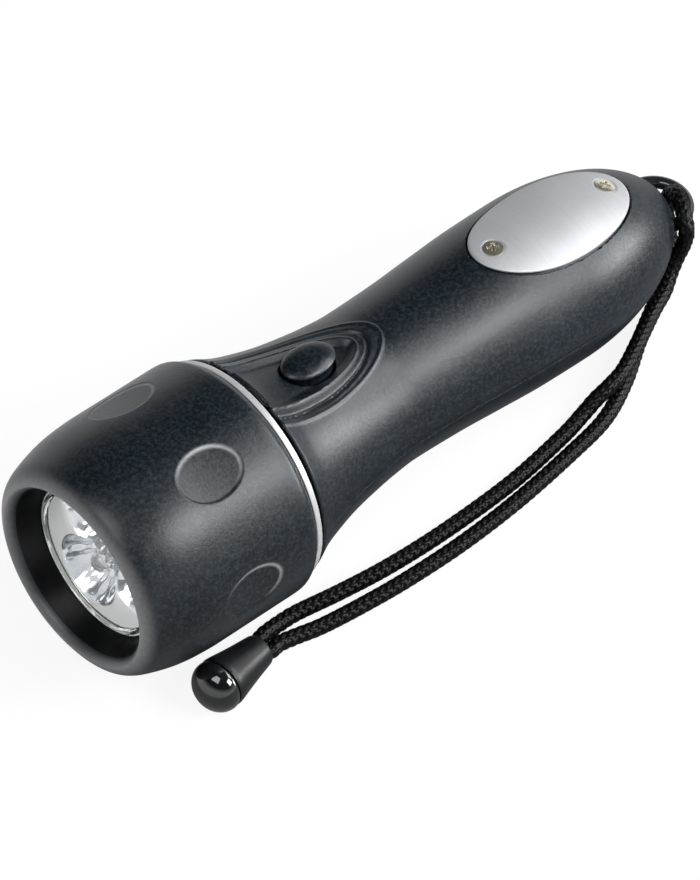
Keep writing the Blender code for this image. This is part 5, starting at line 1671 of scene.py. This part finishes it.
@dataclass
class Studio:
    """Pale floor, pale room, soft lamps and the camera."""

    lamps: tuple[SoftBox, ...] = (
        SoftBox("near_box", (0.3016, -0.7280, 0.6157), 0.95, (0.42, 0.36), 6.9),
        SoftBox("low_box", (0.7913, -0.5750, 0.2079), 0.95, (0.42, 0.30), 6.0),
        SoftBox("tail_box", (0.7280, -0.3016, 0.6157), 0.95, (0.42, 0.36), 3.9),
        SoftBox("front_box", (-0.5300, -0.1000, 0.8400), 0.95, (0.50, 0.50), 3.2),
    )
    place: tuple[float, float, float] = (-0.63854, -0.74099, 1.21221)
    right: tuple[float, float, float] = (0.741857, -0.670115, -0.024352)
    up: tuple[float, float, float] = (0.532446, 0.566596, 0.628864)
    back: tuple[float, float, float] = (-0.407614, -0.479494, 0.777134)
    lens: float = 304.55
    floor_half: float = 6.0
    floor_white: float = 0.74
    floor_in_gloss: float = 0.20
    floor_glow: float = 1.06
    glow_share: float = 0.84
    gloss_share: float = 0.85
    gloss_floor: float = 0.08
    ahead_of_torch: tuple[float, float] = (-0.090, -0.116)
    beyond_torch: tuple[float, float] = (0.020, 0.050)
    room_light: float = 0.18
    through_lens: float = 0.95
    ceiling: float = 0.02
    ceiling_edge: tuple[float, float] = (0.42, 0.14)

    def build_camera(self) -> None:
        """Stands the camera where the photograph was taken from."""
        data = bpy.data.cameras.new("camera")
        data.lens = self.lens
        data.sensor_width = 36.0
        data.clip_end = 20.0
        camera = bpy.data.objects.new("camera", data)
        turn = Matrix((self.right, self.up, self.back)).transposed().to_4x4()
        camera.matrix_world = Matrix.Translation(self.place) @ turn
        bpy.context.scene.collection.objects.link(camera)
        bpy.context.scene.camera = camera

    def build_floor(self) -> None:
        """Lays the floor.

        It is matt white for light, and glows for the camera and through clear parts. In gloss it glows
        ahead of the torch and beyond it, and is dim elsewhere.
        """
        mesh = bpy.data.meshes.new("studio_floor")
        half = self.floor_half
        corners = [(-half, -half, 0), (half, -half, 0), (half, half, 0), (-half, half, 0)]
        mesh.from_pydata(corners, [], [(0, 1, 2, 3)])
        floor = bpy.data.objects.new("studio_floor", mesh)
        bpy.context.scene.collection.objects.link(floor)
        mix = Recipe("floor_white")
        path = {"kind": "ShaderNodeLightPath"}
        glossy = mix.node(output="Is Glossy Ray", **path)
        pale = mix.node("ShaderNodeBsdfDiffuse", inputs={"Color": (self.floor_white,) * 3})
        dim = mix.node("ShaderNodeBsdfDiffuse", inputs={"Color": (self.floor_in_gloss,) * 3})
        matt = mix.node("ShaderNodeMixShader", inputs={0: glossy, 1: pale, 2: dim})
        glow_values = {"Color": (1.0, 1.0, 1.0), "Strength": self.floor_glow}
        glow = mix.node("ShaderNodeEmission", inputs=glow_values)
        seen = mix.node(output="Is Camera Ray", **path) + mix.node(output="Is Transmission Ray", **path)
        parts = mix.tree.nodes.new("ShaderNodeSeparateXYZ")
        mix.tree.links.new(mix.spot().socket, parts.inputs[0])
        ahead = Signal(mix.tree, parts.outputs["X"]).stepped(*self.ahead_of_torch)
        beyond = Signal(mix.tree, parts.outputs["Y"]).stepped(*self.beyond_torch)
        in_gloss = (ahead + beyond).held() * self.gloss_share + self.gloss_floor
        share = (seen + glossy * in_gloss).held() * self.glow_share
        both = mix.node("ShaderNodeMixShader", inputs={0: share, 1: matt, 2: glow})
        mix.node("ShaderNodeOutputMaterial", inputs={"Surface": both})
        mesh.materials.append(mix.material)

    def build_room(self) -> None:
        """Makes the room white to the camera, and to gloss up to the ceiling's edge.

        The ceiling is dark but for its lamps, and the room gives a plain grey light otherwise. Through
        clear parts it is pale all round.
        """
        world = bpy.data.worlds.new("pale_room")
        world.use_nodes = True
        tree = world.node_tree
        tree.nodes.clear()
        path = tree.nodes.new("ShaderNodeLightPath")
        way = tree.nodes.new("ShaderNodeTexCoord")
        parts = tree.nodes.new("ShaderNodeSeparateXYZ")
        tree.links.new(way.outputs["Generated"], parts.inputs[0])
        walls = Signal(tree, parts.outputs["Z"]).stepped(*self.ceiling_edge)
        mirrored = Signal(tree, path.outputs["Is Glossy Ray"])
        through = Signal(tree, path.outputs["Is Transmission Ray"])
        room = self.ceiling + walls * (1.0 - self.ceiling)
        seen = Signal(tree, path.outputs["Is Camera Ray"])
        other = (1.0 - seen - mirrored - through).held() * self.room_light
        strength = seen + mirrored * (1.0 - through) * room + through * self.through_lens + other
        light = tree.nodes.new("ShaderNodeBackground")
        tree.links.new(strength.socket, light.inputs["Strength"])
        light.inputs["Color"].default_value = (1.0, 1.0, 1.0, 1.0)
        end = tree.nodes.new("ShaderNodeOutputWorld")
        tree.links.new(light.outputs[0], end.inputs[0])
        bpy.context.scene.world = world

    def build(self) -> None:
        """Sets up everything but the camera."""
        self.build_floor()
        self.build_room()
        for lamp in self.lamps:
            lamp.build()
        bpy.context.scene.view_settings.view_transform = "Standard"


def main() -> None:
    """Builds the camera, the cord, the torch's pieces and the studio, in that order."""
    logging.basicConfig(level=logging.INFO, format="%(message)s")
    studio = Studio()
    studio.build_camera()
    grip = Grip()
    for part in (WristCord(), Head(), Neck(), grip, PushButton(), Badge(grip), TailLoop(), Insides()):
        part.build()
        log.info("%s done", type(part).__name__)
    studio.build()


if __name__ == "__main__":
    main()
